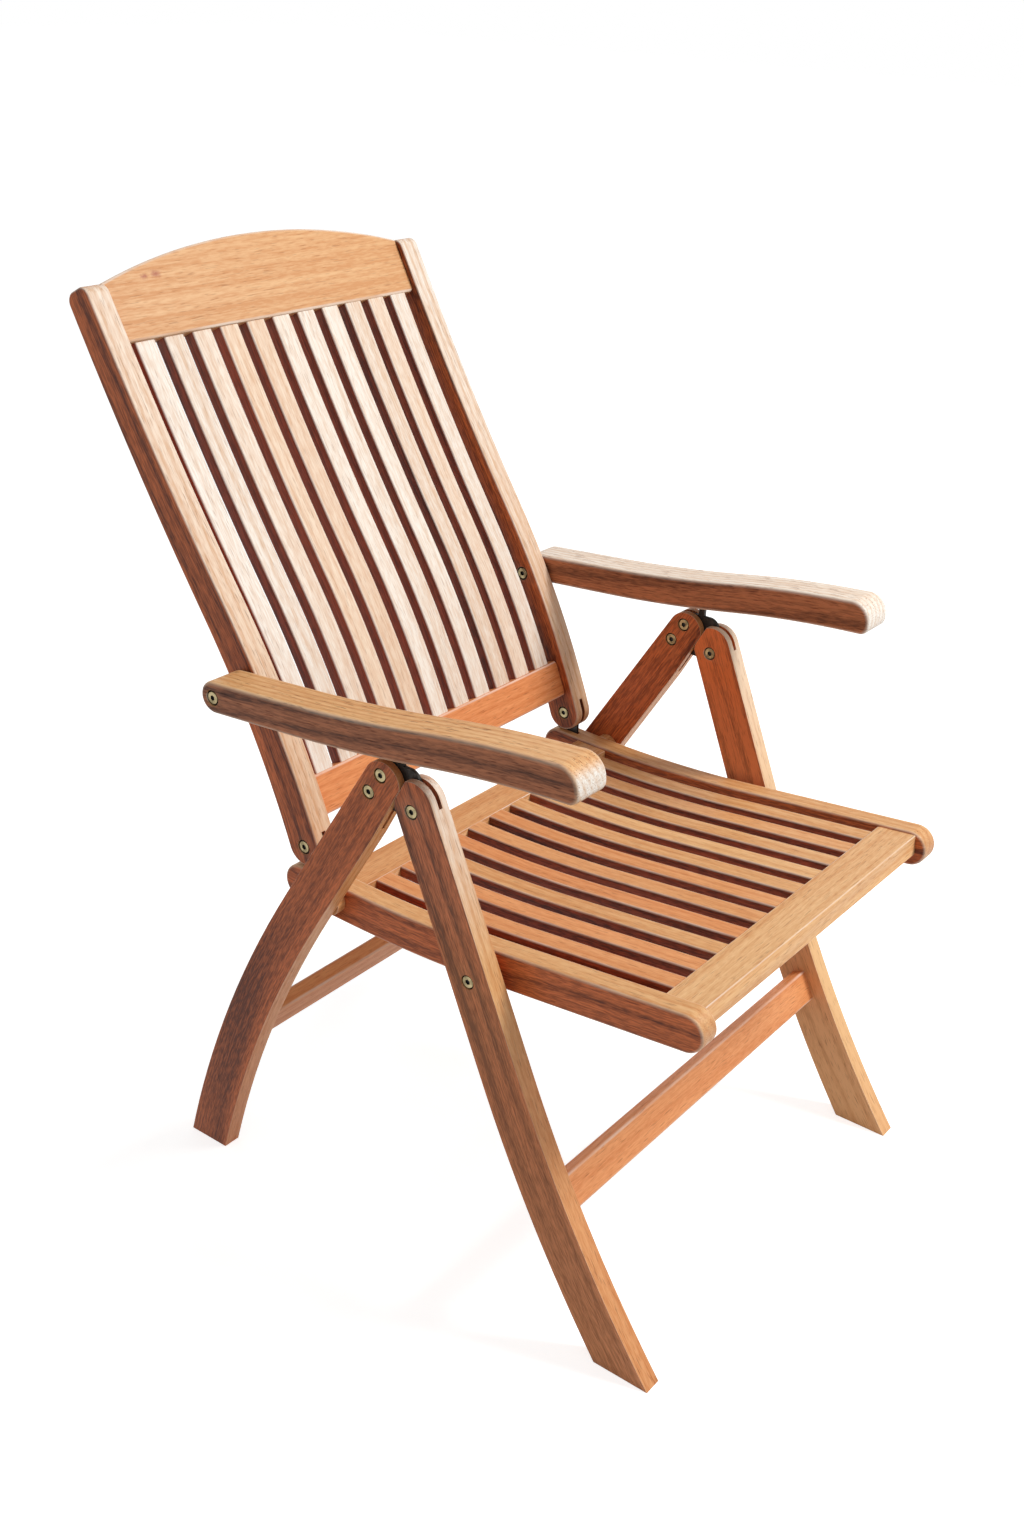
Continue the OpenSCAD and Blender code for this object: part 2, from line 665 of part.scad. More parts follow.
both_sides() back_hinge_plate();  // back_hinge_plates
color(brass) both_sides()  // back_hinge_bolts
    bolt(back_pivot, stile_in, rail_out);
back_stile();  // back_stile_left
mirror([1, 0, 0]) back_stile();  // back_stile_right
back_top_rail();
back_bottom_rail();
for (i = [1:SLATS]) back_slat(i);
color(brass) both_sides()  // arm_pivot_bolts
    bolt(arm_pivot, stile_in, arm_outer);
both_sides() arm_spacer();  // arm_spacers
armrest();  // armrest_left
mirror([1, 0, 0]) armrest();  // armrest_right
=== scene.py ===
"""Dresses the folding reclining armchair in oiled hardwood, aged brass and dark steel.

The chair's own solids are the fixed frame. Each wooden piece here is one of them with its edges
rounded and its grain laid along it. The slats and the bolts are rows made by Geometry Nodes.
"""

import json
import math
import zlib
from typing import NamedTuple

import bmesh
import bpy
import numpy as np
from bpy.props import FloatProperty, FloatVectorProperty, IntProperty, PointerProperty
from mathutils import Matrix, Vector
from mathutils.bvhtree import BVHTree


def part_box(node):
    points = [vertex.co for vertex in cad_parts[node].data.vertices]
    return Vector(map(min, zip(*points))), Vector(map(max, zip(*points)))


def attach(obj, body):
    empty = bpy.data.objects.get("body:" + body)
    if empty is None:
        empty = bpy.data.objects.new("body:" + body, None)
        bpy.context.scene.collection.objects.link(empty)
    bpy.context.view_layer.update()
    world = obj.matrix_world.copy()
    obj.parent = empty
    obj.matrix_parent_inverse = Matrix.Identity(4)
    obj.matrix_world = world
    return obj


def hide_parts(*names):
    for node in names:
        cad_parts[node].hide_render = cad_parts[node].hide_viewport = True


bl_info = {
    "name": "Folding reclining armchair",
    "version": (1, 0, 0),
    "blender": (4, 5, 0),
    "location": "View3D > Sidebar > Armchair",
    "description": "Wood, bolts and fittings of a slatted folding armchair",
    "category": "Object",
}

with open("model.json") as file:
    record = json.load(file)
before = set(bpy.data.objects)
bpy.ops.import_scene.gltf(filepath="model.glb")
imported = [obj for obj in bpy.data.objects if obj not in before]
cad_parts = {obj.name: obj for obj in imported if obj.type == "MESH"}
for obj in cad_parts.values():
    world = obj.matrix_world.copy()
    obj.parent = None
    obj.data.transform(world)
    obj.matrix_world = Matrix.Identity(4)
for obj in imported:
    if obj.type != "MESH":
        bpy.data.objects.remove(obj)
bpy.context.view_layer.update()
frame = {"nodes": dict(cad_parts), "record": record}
NODES = frame["nodes"]
RECORD = frame["record"]
BODY_OF = {node: body for body, nodes in RECORD["behaviour"]["bodies"].items() for node in nodes}
SLOT_OF = {part["node"]: part["material_slot"] for part in RECORD["subparts"]}

MM = 0.001
SIDES = ("right", "left")

# Points closer than this are one point, and faces within this angle are one flat face
SAME_POINT = 0.01 * MM
FLAT_ANGLE = math.radians(0.2)
# Corners sharper than the first are rounded, and past the second they stay hard in the shading
SHARP_ANGLE = math.radians(38)
SMOOTH_ANGLE = math.radians(34)
# Past this width a recess counts as the outside of a piece
RECESS_WIDTH = 34 * MM
# A look into a recess starts this far inside one face and this far off the other
PROBE_IN, PROBE_OFF = 0.3 * MM, 0.05 * MM
# An edge lies across a piece when less of its direction than this runs along it
CROSSWISE = 0.6
# Distance between the cuts that let the grain follow a bend
GRAIN_STEP = 28 * MM
# A face is a side, with the sides' deep colour and painted shade, once the crosswise part of its normal
# is past these
SIDE_FROM, SIDE_TO = 0.55, 0.95
# How sharply end grain gives way to long grain round a corner
END_SHARPNESS = 4
# Segments of the rounding of outside edges, of cut edges and of the steel parts
ROUND_SEGMENTS, CUT_SEGMENTS, PLATE_SEGMENTS = 3, 1, 2
# Directions that are tried for a board's chord
TRIED_ANGLES = np.radians(np.arange(0, 180, 0.5))
# The pieces between the chair's two sides run this way
ACROSS_CHAIR = Vector((1, 0, 0))
# Bolt holes are painted dark, as shade and grime, within this distance of the bolt's axis and deeper than
# this
HOLE_REACH, HOLE_RIM = 8.6 * MM, 0.6 * MM
# The turn of each stretcher about its own length that lets its wide face follow the legs
STRETCHER_TURN = {"front_stretcher": math.radians(-52.6), "rear_stretcher": math.radians(50)}
# Only a mortise's corners are nearer than this to its stretcher's axis
MORTISE_REACH = 17 * MM
MORTISE_CORNERS = 8
# How far from its tree's heart a board was cut, in metres, and how far the heart strays, in degrees
CUT_RADIUS, HEART_DRIFT = (0.07, 0.13), 8
# Boards lie somewhere in this length of tree, and their tones differ by this much of the spread
TREE_LENGTH, TONE_REACH = 30, 0.2
# The slats' own places in their trees, and the range of warmth of each row
SLAT_CUT_LOW, SLAT_CUT_HIGH = (0, -0.12, 0.04), (30, 0.12, 0.14)
SEAT_WARMTH, BACK_WARMTH = (0.35, 0.80), (0.0, 0.32)
# What is added to the seed for the warmth and the place of a slat, and for the back's row
WARMTH_SEED, CUT_SEED, BACK_SEED = 3, 7, 4
# A bolt head's rim and its socket's floor as parts of its height, and its flat's inner edge as a part of
# the socket's radius
HEAD_RIM, SOCKET_FLOOR, HEAD_FLAT = 0.22, 0.3, 1.35
# The socket is painted dark, as shade, below this
SOCKET_LIP = 0.1 * MM
HEAD_CORNERS, SHANK_CORNERS = 48, 24
FITTINGS = ("leg_hinge_plates", "back_hinge_plates", "arm_catches", "seat_guide_pegs", "arm_spacers")
# The lamp and the floor's half width
LAMP_PLACE, LAMP_AIM, LAMP_WIDTH = Vector((1.5, -2.3, 3.6)), Vector((0, 0, 0.5)), 1.2
FLOOR_REACH = 20
# The photo's camera, with its y from the legs' pivot, and its frame's height in millimetres
CAMERA_PLACE = Vector((-1.3099, -0.9144, 1.2994))
CAMERA_FORWARD, CAMERA_RIGHT = Vector((0.7124, 0.4961, -0.4964)), Vector((0.5911, -0.8055, 0.0432))
CAMERA_SHIFT = (-0.0421, 0.0660)
FRAME_HEIGHT = 36
WHITE = (1, 1, 1, 1)


def numbered(name):
    """The nodes of a row, from one side of the chair to the other."""
    return [f"{name}_{i + 1}" for i in range(sum(node.startswith(name + "_") for node in NODES))]


def points_of(mesh):
    """The points of a mesh that is being edited, one a row."""
    return np.array([v.co for v in mesh.verts])


def colour(title, about, default):
    """A colour that a user may change."""
    return FloatVectorProperty(name=title, description=about, default=default, size=3, min=0, max=1,
                               subtype="COLOR")


def length(title, about, default, low, high):
    """A length in metres that a user may change."""
    return FloatProperty(name=title, description=about, default=default, min=low, max=high,
                         unit="LENGTH", precision=5)


def share(title, about, default, high=1.0):
    """A plain number that a user may change."""
    return FloatProperty(name=title, description=about, default=default, min=0, max=high)


class ChairWood(bpy.types.PropertyGroup):
    """Edges and tones of the wooden pieces."""

    leg_edge: length("Leg edge", "Rounding of legs, rails and stiles", 3.2 * MM, 0.0005, 0.006)
    arm_edge: length("Armrest edge", "Rounding of the armrests' edges", 6 * MM, 0.0005, 0.012)
    slat_edge: length("Slat edge", "Rounding of the slats' long edges", 2.4 * MM, 0.0005, 0.005)
    cut_edge: length("Cut edge", "Rounding where a piece is joined or drilled", 0.45 * MM, 0.0001, 0.002)
    tone_spread: share("Tone spread", "How much the pieces differ in tone", 0.5)
    seed: IntProperty(name="Seed", description="Picks the tone and grain of the slats", default=11, min=0)
    cream: colour("Cream", "Bleached faces that look up or forward", (0.87, 0.83, 0.76))
    honey: colour("Honey", "Oiled faces that look up or forward", (0.77, 0.47, 0.22))
    orange: colour("Orange", "Fresh and oily faces", (0.80, 0.29, 0.10))
    # The sides' colours are partly the wood's own deeper tone and partly painted shade
    frame_side: colour("Frame's sides", "Sides of legs, rails and stiles", (0.80, 0.202, 0.056))
    arm_side: colour("Armrests' sides", "Sides of the armrests", (0.54, 0.188, 0.079))
    slat_side: colour("Slats' sides", "Sides of the slats", (0.49, 0.096, 0.032))
    end_grain: colour("End grain", "Sawn ends", (0.46, 0.17, 0.07))


class ChairMetal(bpy.types.PropertyGroup):
    """Bolts, plates and spacers."""

    head_radius: length("Head radius", "Radius of a bolt's head", 6.6 * MM, 0.003, 0.012)
    head_height: length("Head height", "Height of a bolt's head", 3 * MM, 0.001, 0.006)
    socket_radius: length("Socket radius", "Corner radius of the hex socket", 3.1 * MM, 0.001, 0.005)
    shank_radius: length("Shank radius", "Radius of a bolt's shank", 4 * MM, 0.002, 0.006)
    plate_edge: length("Plate edge", "Rounding of the steel parts' edges", 0.4 * MM, 0.0001, 0.001)
    brass: colour("Brass", "Aged brass of the bolts", (0.46, 0.38, 0.21))
    steel: colour("Steel", "Dark plated steel", (0.055, 0.05, 0.046))


class ChairStage(bpy.types.PropertyGroup):
    """Floor, lamp and camera."""

    floor_grey: colour("Floor", "Colour of the floor", (0.70, 0.70, 0.70))
    floor_glow: share("Floor glow", "Light that the floor adds for the camera", 0.715)
    sky: share("Sky", "Brightness of the surroundings on the chair", 0.42, 4)
    key: FloatProperty(name="Key lamp", description="Power of the large lamp in front", default=143,
                       min=0, unit="POWER")
    lens: FloatProperty(name="Lens", description="Focal length for a frame 36 mm high", default=37.83,
                        min=10, subtype="DISTANCE_CAMERA")


class Tree:
    """Writes a node tree."""

    def __init__(self, tree):
        self.tree = tree

    def add(self, kind, inputs=(), **settings):
        """A new node with those inputs and settings."""
        node = self.tree.nodes.new(kind)
        for key, value in settings.items():
            setattr(node, key, value)
        self.fill(node, inputs)
        return node

    def fill(self, node, inputs):
        """Sets a node's inputs, by number or name, and links those given as another node's output."""
        for key, value in dict(inputs).items():
            socket = self.socket(node, key)
            if isinstance(value, bpy.types.NodeSocket):
                self.tree.links.new(value, socket)
            else:
                socket.default_value = value

    @staticmethod
    def socket(node, key):
        """A node's input by its number, or by its name among those in use."""
        if isinstance(key, int):
            return node.inputs[key]
        return next(s for s in node.inputs if s.name == key and s.enabled)

    def math(self, operation, a, b=0.0, clamp=False):
        """The result of one operation on two numbers."""
        return self.add("ShaderNodeMath", {0: a, 1: b}, operation=operation, use_clamp=clamp).outputs[0]

    def vector(self, operation, a, b=(0, 0, 0)):
        """The result of one operation on two vectors, which is a number for LENGTH."""
        node = self.add("ShaderNodeVectorMath", {0: a, 1: b}, operation=operation)
        return node.outputs["Value" if operation == "LENGTH" else "Vector"]

    def span(self, value, low, high, to_low=0.0, to_high=1.0):
        """A value taken smoothly from one range to another."""
        inputs = {"Value": value, "From Min": low, "From Max": high, "To Min": to_low, "To Max": to_high}
        return self.add("ShaderNodeMapRange", inputs, interpolation_type="SMOOTHSTEP").outputs[0]

    def noise(self, place, stretch, detail=2.0, roughness=0.5):
        """Noise with that many cycles per metre each way."""
        inputs = {"Vector": self.vector("MULTIPLY", place, stretch), "Scale": 1.0, "Detail": detail,
                  "Roughness": roughness}
        return self.add("ShaderNodeTexNoise", inputs).outputs["Fac"]

    def blend(self, factor, a, b, mode="MIX"):
        """Two colours mixed by a factor."""
        inputs = {0: factor, 6: a, 7: b}
        return self.add("ShaderNodeMix", inputs, data_type="RGBA", blend_type=mode).outputs[2]


# The kinds of socket that the groups here have
FLOAT, WHOLE, VECTOR = "NodeSocketFloat", "NodeSocketInt", "NodeSocketVector"
GEOMETRY, OBJECT, MATERIAL = "NodeSocketGeometry", "NodeSocketObject", "NodeSocketMaterial"


def rgba(colour_value):
    """A colour with its alpha."""
    return (*colour_value, 1.0)


def new_group(kind, name, inputs, outputs):
    """An empty node group with its sockets: its tree, what it is given by name, and its output node."""
    group = bpy.data.node_groups.new(name, kind)
    for way, sockets in (("INPUT", inputs), ("OUTPUT", outputs)):
        for title, socket_type, *default in sockets:
            socket = group.interface.new_socket(name=title, in_out=way, socket_type=socket_type)
            if default:
                socket.default_value = default[0]
    given = {socket.name: socket for socket in group.nodes.new("NodeGroupInput").outputs}
    return Tree(group), given, group.nodes.new("NodeGroupOutput")


def group_named(name, build):
    """The node group of that name, which its function builds the first time."""
    return bpy.data.node_groups.get(name) or build(name)


# Cycles of each pattern per metre along, across and through a board
SWAY, RING_FADE, DRIFT = (2.6, 9, 9), (1.7, 14, 14), (1.3, 22, 22)
STREAK, FIBRE, FLECK, SPECK = (2.2, 150, 150), (9, 620, 620), (75, 540, 540), (60, 820, 820)
WEAR_AND_HIGHLIGHT = (14, 60, 60)
# How far the rings run out along a board and wander across it
RUN_OUT, WANDER = 0.012, 0.011
# Dark late wood starts here in each ring
LATE_WOOD = 0.35
# Where fibres, streaks, drifts and flecks start and end in their noise, and their parts of the depth
DEPTH_PARTS = ((0.3, 0.7, 0.26), (0.3, 0.7, 0.24), (0.25, 0.75, 0.22), (0.36, 0.64, 0.34))
# What is taken from their sum, so that the palest grain has no depth
DEPTH_LIFT = 0.12
# Where pores and the paler patches of edges start and end in their noise, and how much paler those are;
# the paling is partly wear and partly painted highlight
PORE_SPAN, WEAR_AND_HIGHLIGHT_SPAN = (0.60, 0.74), (0.25, 0.75, 0.35, 1.0)
# How much fibres stand out beside pores, and the relief's height and strength
FIBRE_RELIEF, RELIEF_HEIGHT, RELIEF_STRENGTH = 0.35, 0.25 * MM, 0.35


def grain_group(name):
    """Growth rings, fibres and pores that run along a board."""
    t, given, out = new_group(
        "ShaderNodeTree", name,
        [("Place", VECTOR), ("Ring width", FLOAT, 4 * MM), ("Ring contrast", FLOAT, 0.4),
         ("Pore amount", FLOAT, 0.5)],
        [("Depth", FLOAT), ("Pores", FLOAT), ("Relief", FLOAT)])
    place = given["Place"]
    split = t.add("ShaderNodeSeparateXYZ", {0: place})
    section = t.add("ShaderNodeCombineXYZ", {"Y": split.outputs["Y"], "Z": split.outputs["Z"]})
    radius = t.vector("LENGTH", section.outputs[0])
    run_out = t.math("MULTIPLY", split.outputs["X"], RUN_OUT)
    sway = t.math("MULTIPLY", t.noise(place, SWAY), WANDER)
    ring_place = t.math("ADD", t.math("ADD", radius, run_out), sway)
    turns = t.math("DIVIDE", ring_place, given["Ring width"])
    ring = t.math("PINGPONG", turns, 1.0)
    late_wood = t.span(ring, LATE_WOOD, 1.0)
    contrast = t.math("MULTIPLY", given["Ring contrast"], t.noise(place, RING_FADE, 1))
    fibre = t.noise(place, FIBRE, 3, 0.6)
    patterns = (fibre, t.noise(place, STREAK), t.noise(place, DRIFT), t.noise(place, FLECK))
    depth = t.math("MULTIPLY", late_wood, contrast)
    for pattern, (low, high, weight) in zip(patterns, DEPTH_PARTS):
        depth = t.math("ADD", depth, t.math("MULTIPLY", t.span(pattern, low, high), weight))
    depth = t.math("SUBTRACT", depth, DEPTH_LIFT, clamp=True)
    speck = t.noise(place, SPECK, 1)
    pores = t.math("MULTIPLY", t.span(speck, *PORE_SPAN), given["Pore amount"], clamp=True)
    relief = t.math("SUBTRACT", t.math("MULTIPLY", fibre, FIBRE_RELIEF), pores)
    t.fill(out, {"Depth": depth, "Pores": pores, "Relief": relief})
    return t.tree


def wear_and_highlight_group(name):
    """Paler edges, partly rubbed wear and partly painted highlight: the edge attribute broken up by
    noise.
    """
    t, given, out = new_group(
        "ShaderNodeTree", name, [("Place", VECTOR), ("Edge", FLOAT, 0.0), ("Amount", FLOAT, 0.5)],
        [("Mask", FLOAT)])
    patches = t.span(t.noise(given["Place"], WEAR_AND_HIGHLIGHT), *WEAR_AND_HIGHLIGHT_SPAN)
    worn = t.math("MULTIPLY", given["Edge"], patches)
    t.fill(out, {"Mask": t.math("MULTIPLY", worn, given["Amount"], clamp=True)})
    return t.tree


def new_material(name):
    """A new material, its tree and its Principled shader."""
    material = bpy.data.materials.new(name)
    material.use_nodes = True
    return material, Tree(material.node_tree), material.node_tree.nodes["Principled BSDF"]


def attribute(t, name, output="Fac"):
    """One of a piece's own attributes."""
    return t.add("ShaderNodeAttribute", attribute_name=name).outputs[output]


# The warmth at which a face is honey, between cream and orange
HONEY = 0.5
# What the grain's dark parts do to the colour of an open face and of a side
FACE_SHADE = (0.76, 0.56, 0.42)
SIDE_SHADE = (0.14, 0.11, 0.10)
PORE_SHADE = (0.42, 0.32, 0.28)
# The dark inside bolt holes: painted shade and grime
HOLE_SHADE_AND_GRIME = (0.030, 0.016, 0.010)
KNOT = (0.34, 0.08, 0.04)
# Centres and radii of the top rail's two small knots
RAIL_KNOTS = (((-0.164, 0.376, 0.986), 4.0 * MM), ((-0.148, 0.376, 0.987), 5.5 * MM))
# A knot's squeeze along the rail, its ragged noise, and its core, reach and strength
KNOT_SQUEEZE, KNOT_NOISE = (0.6, 1, 1), (300, 300, 300)
KNOT_CORE, KNOT_REACH, KNOT_STRENGTH = 0.4, 1.6, 0.85


def knot_mask(t, centre, radius):
    """A soft ragged spot, longer along the rail than across it."""
    place = t.add("ShaderNodeTexCoord").outputs["Object"]
    squeezed = t.vector("MULTIPLY", t.vector("SUBTRACT", place, centre), KNOT_SQUEEZE)
    away = t.vector("LENGTH", squeezed)
    ragged = t.math("ADD", away, t.math("MULTIPLY", t.noise(place, KNOT_NOISE), radius))
    return t.span(ragged, KNOT_CORE * radius, KNOT_REACH * radius, KNOT_STRENGTH, 0.0)


class Grain(NamedTuple):
    """How the grain of one finish looks."""

    ring_width: float
    ring_contrast: float
    pores: float
    # How pale the edges grow, partly by wear and partly as painted highlight
    wear: float
    knots: tuple = ()


GRAINS = {
    "frame_wood": Grain(5 * MM, 0.7, 0.6, 0.30),
    "arm_wood": Grain(4 * MM, 0.9, 1.0, 0.25),
    "seat_wood": Grain(5 * MM, 0.5, 0.5, 0.45),
    "back_wood": Grain(6 * MM, 0.4, 0.4, 0.60, RAIL_KNOTS),
}
# The roughness of pale and of dark grain, what pores add to it, and how much the wood shines
WOOD_ROUGHNESS, PORE_ROUGHNESS, WOOD_SPECULAR = (0.40, 0.52), 0.2, 0.3


def wood(name, side, finish):
    """Oiled hardwood: cream to orange faces, deep sides with painted shade, dark end grain, worn edges
    with painted highlight.
    """
    w = bpy.context.scene.chair_wood
    material, t, shader = new_material(name)
    place = attribute(t, "grain_place", "Vector")
    grain = t.add("ShaderNodeGroup", {
        "Place": place, "Ring width": finish.ring_width, "Ring contrast": finish.ring_contrast,
        "Pore amount": finish.pores}, node_tree=group_named("wood_grain", grain_group))
    rubbed_and_highlit = t.add("ShaderNodeGroup", {
        "Place": place, "Edge": attribute(t, "edge"), "Amount": finish.wear},
        node_tree=group_named("edge_wear", wear_and_highlight_group))
    depth = t.math("ADD", grain.outputs["Depth"], attribute(t, "tone"), clamp=True)
    warmth = attribute(t, "warmth")
    face = t.blend(t.span(warmth, 0.0, HONEY), rgba(w.cream), rgba(w.honey))
    face = t.blend(t.span(warmth, HONEY, 1.0), face, rgba(w.orange))
    face = t.blend(depth, face, rgba(FACE_SHADE), "MULTIPLY")
    # The sides' colour: partly the wood's own deeper tone, partly painted shade
    flank_and_shade = t.blend(depth, rgba(side), rgba(SIDE_SHADE), "MULTIPLY")
    tint = t.blend(attribute(t, "side"), face, flank_and_shade)
    tint = t.blend(attribute(t, "end_grain"), tint, rgba(w.end_grain))
    tint = t.blend(grain.outputs["Pores"], tint, rgba(PORE_SHADE), "MULTIPLY")
    for centre, radius in finish.knots:
        tint = t.blend(knot_mask(t, centre, radius), tint, rgba(KNOT))
    # Paler edges, partly rubbed wear and partly painted highlight
    tint = t.blend(rubbed_and_highlit.outputs["Mask"], tint, rgba(w.cream))
    # Bolt holes painted dark, as shade and grime
    tint = t.blend(attribute(t, "hole_shade_and_grime"), tint, rgba(HOLE_SHADE_AND_GRIME))
    rough = t.math("ADD", t.span(grain.outputs["Depth"], 0.0, 1.0, *WOOD_ROUGHNESS),
                   t.math("MULTIPLY", grain.outputs["Pores"], PORE_ROUGHNESS))
    bump = t.add("ShaderNodeBump", {
        "Strength": RELIEF_STRENGTH, "Distance": RELIEF_HEIGHT, "Height": grain.outputs["Relief"]})
    t.fill(shader, {"Base Color": tint, "Roughness": rough, "Specular IOR Level": WOOD_SPECULAR,
                    "Normal": bump.outputs[0]})
    return material


class Plating(NamedTuple):
    """How rough a metal is, and how dark its dull patches are."""

    roughness: float
    dulled: float


PLATINGS = {"aged_brass": Plating(0.34, 0.6), "dark_steel": Plating(0.42, 0.7)}
# Cycles of dull patches and specks per metre, and where they start and end in their noise
PATCHES, PATCH_SPAN = (160, 160, 160), (0.35, 0.7)
SPECKS, SPECK_SPAN = (900, 900, 900), (0.55, 0.75)
# The strength and darkness of the specks, the roughness that patches add, and the painted shade inside a
# socket
SPECK_STRENGTH, SPECK_DARK, PATCH_ROUGHNESS = 0.4, 0.3, 0.2
SOCKET_SHADE = (0.012, 0.011, 0.010)


def metal(name, base, plating):
    """Plated metal with dull patches, and a socket painted nearly black as shade."""
    material, t, shader = new_material(name)
    place = t.add("ShaderNodeTexCoord").outputs["Object"]
    patches = t.span(t.noise(place, PATCHES, 3), *PATCH_SPAN)
    specks = t.math("MULTIPLY", t.span(t.noise(place, SPECKS), *SPECK_SPAN), SPECK_STRENGTH)
    tint = t.blend(patches, rgba(base), rgba([plating.dulled * c for c in base]))
    tint = t.blend(specks, tint, rgba([SPECK_DARK * c for c in base]))
    # The socket is painted nearly black and not metal, as shade
    recess = attribute(t, "recess")
    tint = t.blend(recess, tint, rgba(SOCKET_SHADE))
    rough = t.span(patches, 0, 1, plating.roughness, plating.roughness + PATCH_ROUGHNESS)
    t.fill(shader, {"Base Color": tint, "Metallic": t.math("SUBTRACT", 1.0, recess), "Roughness": rough})
    return material


def material_for(slot):
    """The finish of one of the record's slots, made once."""
    name = "finish_" + slot
    found = bpy.data.materials.get(name)
    if found:
        return found
    w, m = bpy.context.scene.chair_wood, bpy.context.scene.chair_metal
    if slot in PLATINGS:
        return metal(name, m.brass if slot == "aged_brass" else m.steel, PLATINGS[slot])
    sides = {"frame_wood": w.frame_side, "arm_wood": w.arm_side}
    return wood(name, sides.get(slot, w.slat_side), GRAINS[slot])


def clean_copy(node):
    """A node's solids for editing, with their loose triangles merged and their flat faces whole."""
    bm = bmesh.new()
    bm.from_mesh(NODES[node].data)
    bmesh.ops.remove_doubles(bm, verts=bm.verts, dist=SAME_POINT)
    bmesh.ops.dissolve_limit(bm, angle_limit=FLAT_ANGLE, verts=bm.verts, edges=bm.edges)
    return bm


def in_recess(tree, edge):
    """True if one of the edge's two faces is the wall of a bore, groove or saw cut."""
    middle = (edge.verts[0].co + edge.verts[1].co) / 2
    for face, other in (edge.link_faces, reversed(edge.link_faces)):
        start = middle - PROBE_IN * other.normal + PROBE_OFF * face.normal
        if tree.ray_cast(start, face.normal, RECESS_WIDTH)[0] is not None:
            return True
    return False


def axis_of(stretcher):
    """The point of the side view that a stretcher's axis runs through."""
    low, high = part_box(stretcher)
    return (low + high) / 2


def close_mortise(bm, stretcher):
    """Fills a leg's mortise, because the turned stretcher no longer covers it."""
    axis = axis_of(stretcher)
    corners = [v for v in bm.verts if (v.co - axis).yz.length < MORTISE_REACH]
    if len(corners) != MORTISE_CORNERS:
        raise RuntimeError(f"the mortise of {stretcher} has {len(corners)} corners")
    bmesh.ops.delete(bm, geom=corners, context="VERTS")
    bmesh.ops.holes_fill(bm, edges=[e for e in bm.edges if e.is_boundary], sides=0)
    bmesh.ops.dissolve_limit(bm, angle_limit=FLAT_ANGLE, verts=bm.verts, edges=bm.edges)


def sharp_outer_edges(bm):
    """The outward corners of a piece, as (those on its outside, those of its recesses)."""
    bm.normal_update()
    tree = BVHTree.FromBMesh(bm)
    edges = [e for e in bm.edges if e.is_manifold and e.is_convex and e.calc_face_angle() > SHARP_ANGLE]
    recess = [e for e in edges if in_recess(tree, e)]
    chosen = set(recess)
    return [e for e in edges if e not in chosen], recess


def bevel(bm, edges, width, segments):
    """Rounds those edges and marks the faces of the rounding."""
    if not edges:
        return
    rounded = bm.faces.layers.int.get("rounded") or bm.faces.layers.int.new("rounded")
    made = bmesh.ops.bevel(bm, geom=edges, offset=width, offset_type="OFFSET", segments=segments,
                           profile=0.5, affect="EDGES", clamp_overlap=True)
    for face in made["faces"]:
        face[rounded] = 1


def round_piece(bm, width, cut_width, joined_along=None):
    """Rounds a piece's outside edges by width and its drilled, sawn and joined edges by cut_width.

    A piece with joined ends gives the direction that it runs along.
    """
    outside, _ = sharp_outer_edges(bm)
    if joined_along is not None:
        headings = {e: (e.verts[0].co - e.verts[1].co).normalized() for e in outside}
        outside = [e for e in outside if abs(headings[e].dot(joined_along)) >= CROSSWISE]
    bevel(bm, outside, width, ROUND_SEGMENTS)
    outside, recess = sharp_outer_edges(bm)
    bevel(bm, outside + recess, cut_width, CUT_SEGMENTS)


def chord(side):
    """The direction that a side view's outline is narrowest across, as a unit vector in (y, z)."""
    across = np.stack([-np.sin(TRIED_ANGLES), np.cos(TRIED_ANGLES)])
    best = TRIED_ANGLES[np.ptp(side @ across, axis=0).argmin()]
    return np.array([math.cos(best), math.sin(best)])


def straight_course(points):
    """Where in a board across the chair each point lies, and which way the grain runs there."""
    wide = chord(points[:, 1:])
    across = points[:, 1:] @ wide
    through = points[:, 1:] @ np.array([-wide[1], wide[0]])
    heading = np.tile([1.0, 0.0, 0.0], (len(points), 1))
    return np.column_stack([points[:, 0], across, through]), heading


def cut_at_stations(bm, run):
    """Cuts a board across at even steps and returns how far along it each cut lies."""
    reach = points_of(bm)[:, 1:] @ run
    first, last = reach.min(), reach.max()
    stations = np.linspace(first, last, max(3, int((last - first) / GRAIN_STEP)))[1:-1]
    for at in stations:
        whole = bm.verts[:] + bm.edges[:] + bm.faces[:]
        bmesh.ops.bisect_plane(bm, geom=whole, dist=SAME_POINT, plane_co=(0, *(at * run)),
                               plane_no=(0, *run))
    return stations


def bent_course(bm):
    """The same for a board that runs in the side view, along the middle of its outline."""
    run = chord(points_of(bm)[:, 1:])
    off = np.array([-run[1], run[0]])
    stations = cut_at_stations(bm, run)
    points = points_of(bm)
    reach, aside = points[:, 1:] @ run, points[:, 1:] @ off
    rows = [aside[np.abs(reach - at) < 2 * SAME_POINT] for at in stations]
    middle = np.array([(row.min() + row.max()) / 2 for row in rows])
    slope = np.gradient(middle, stations)
    walked = np.concatenate([[0], np.cumsum(np.hypot(np.diff(stations), np.diff(middle)))])
    lean = np.interp(reach, stations, slope)
    beyond = reach - np.clip(reach, stations[0], stations[-1])
    centre = np.interp(reach, stations, middle) + beyond * lean
    along = np.interp(reach, stations, walked) + beyond
    across = (aside - centre) / np.hypot(1, lean)
    direction = run + lean[:, None] * off
    heading = np.column_stack([np.zeros(len(points)), direction / np.hypot(1, lean)[:, None]])
    return np.column_stack([along, across, points[:, 0]]), heading


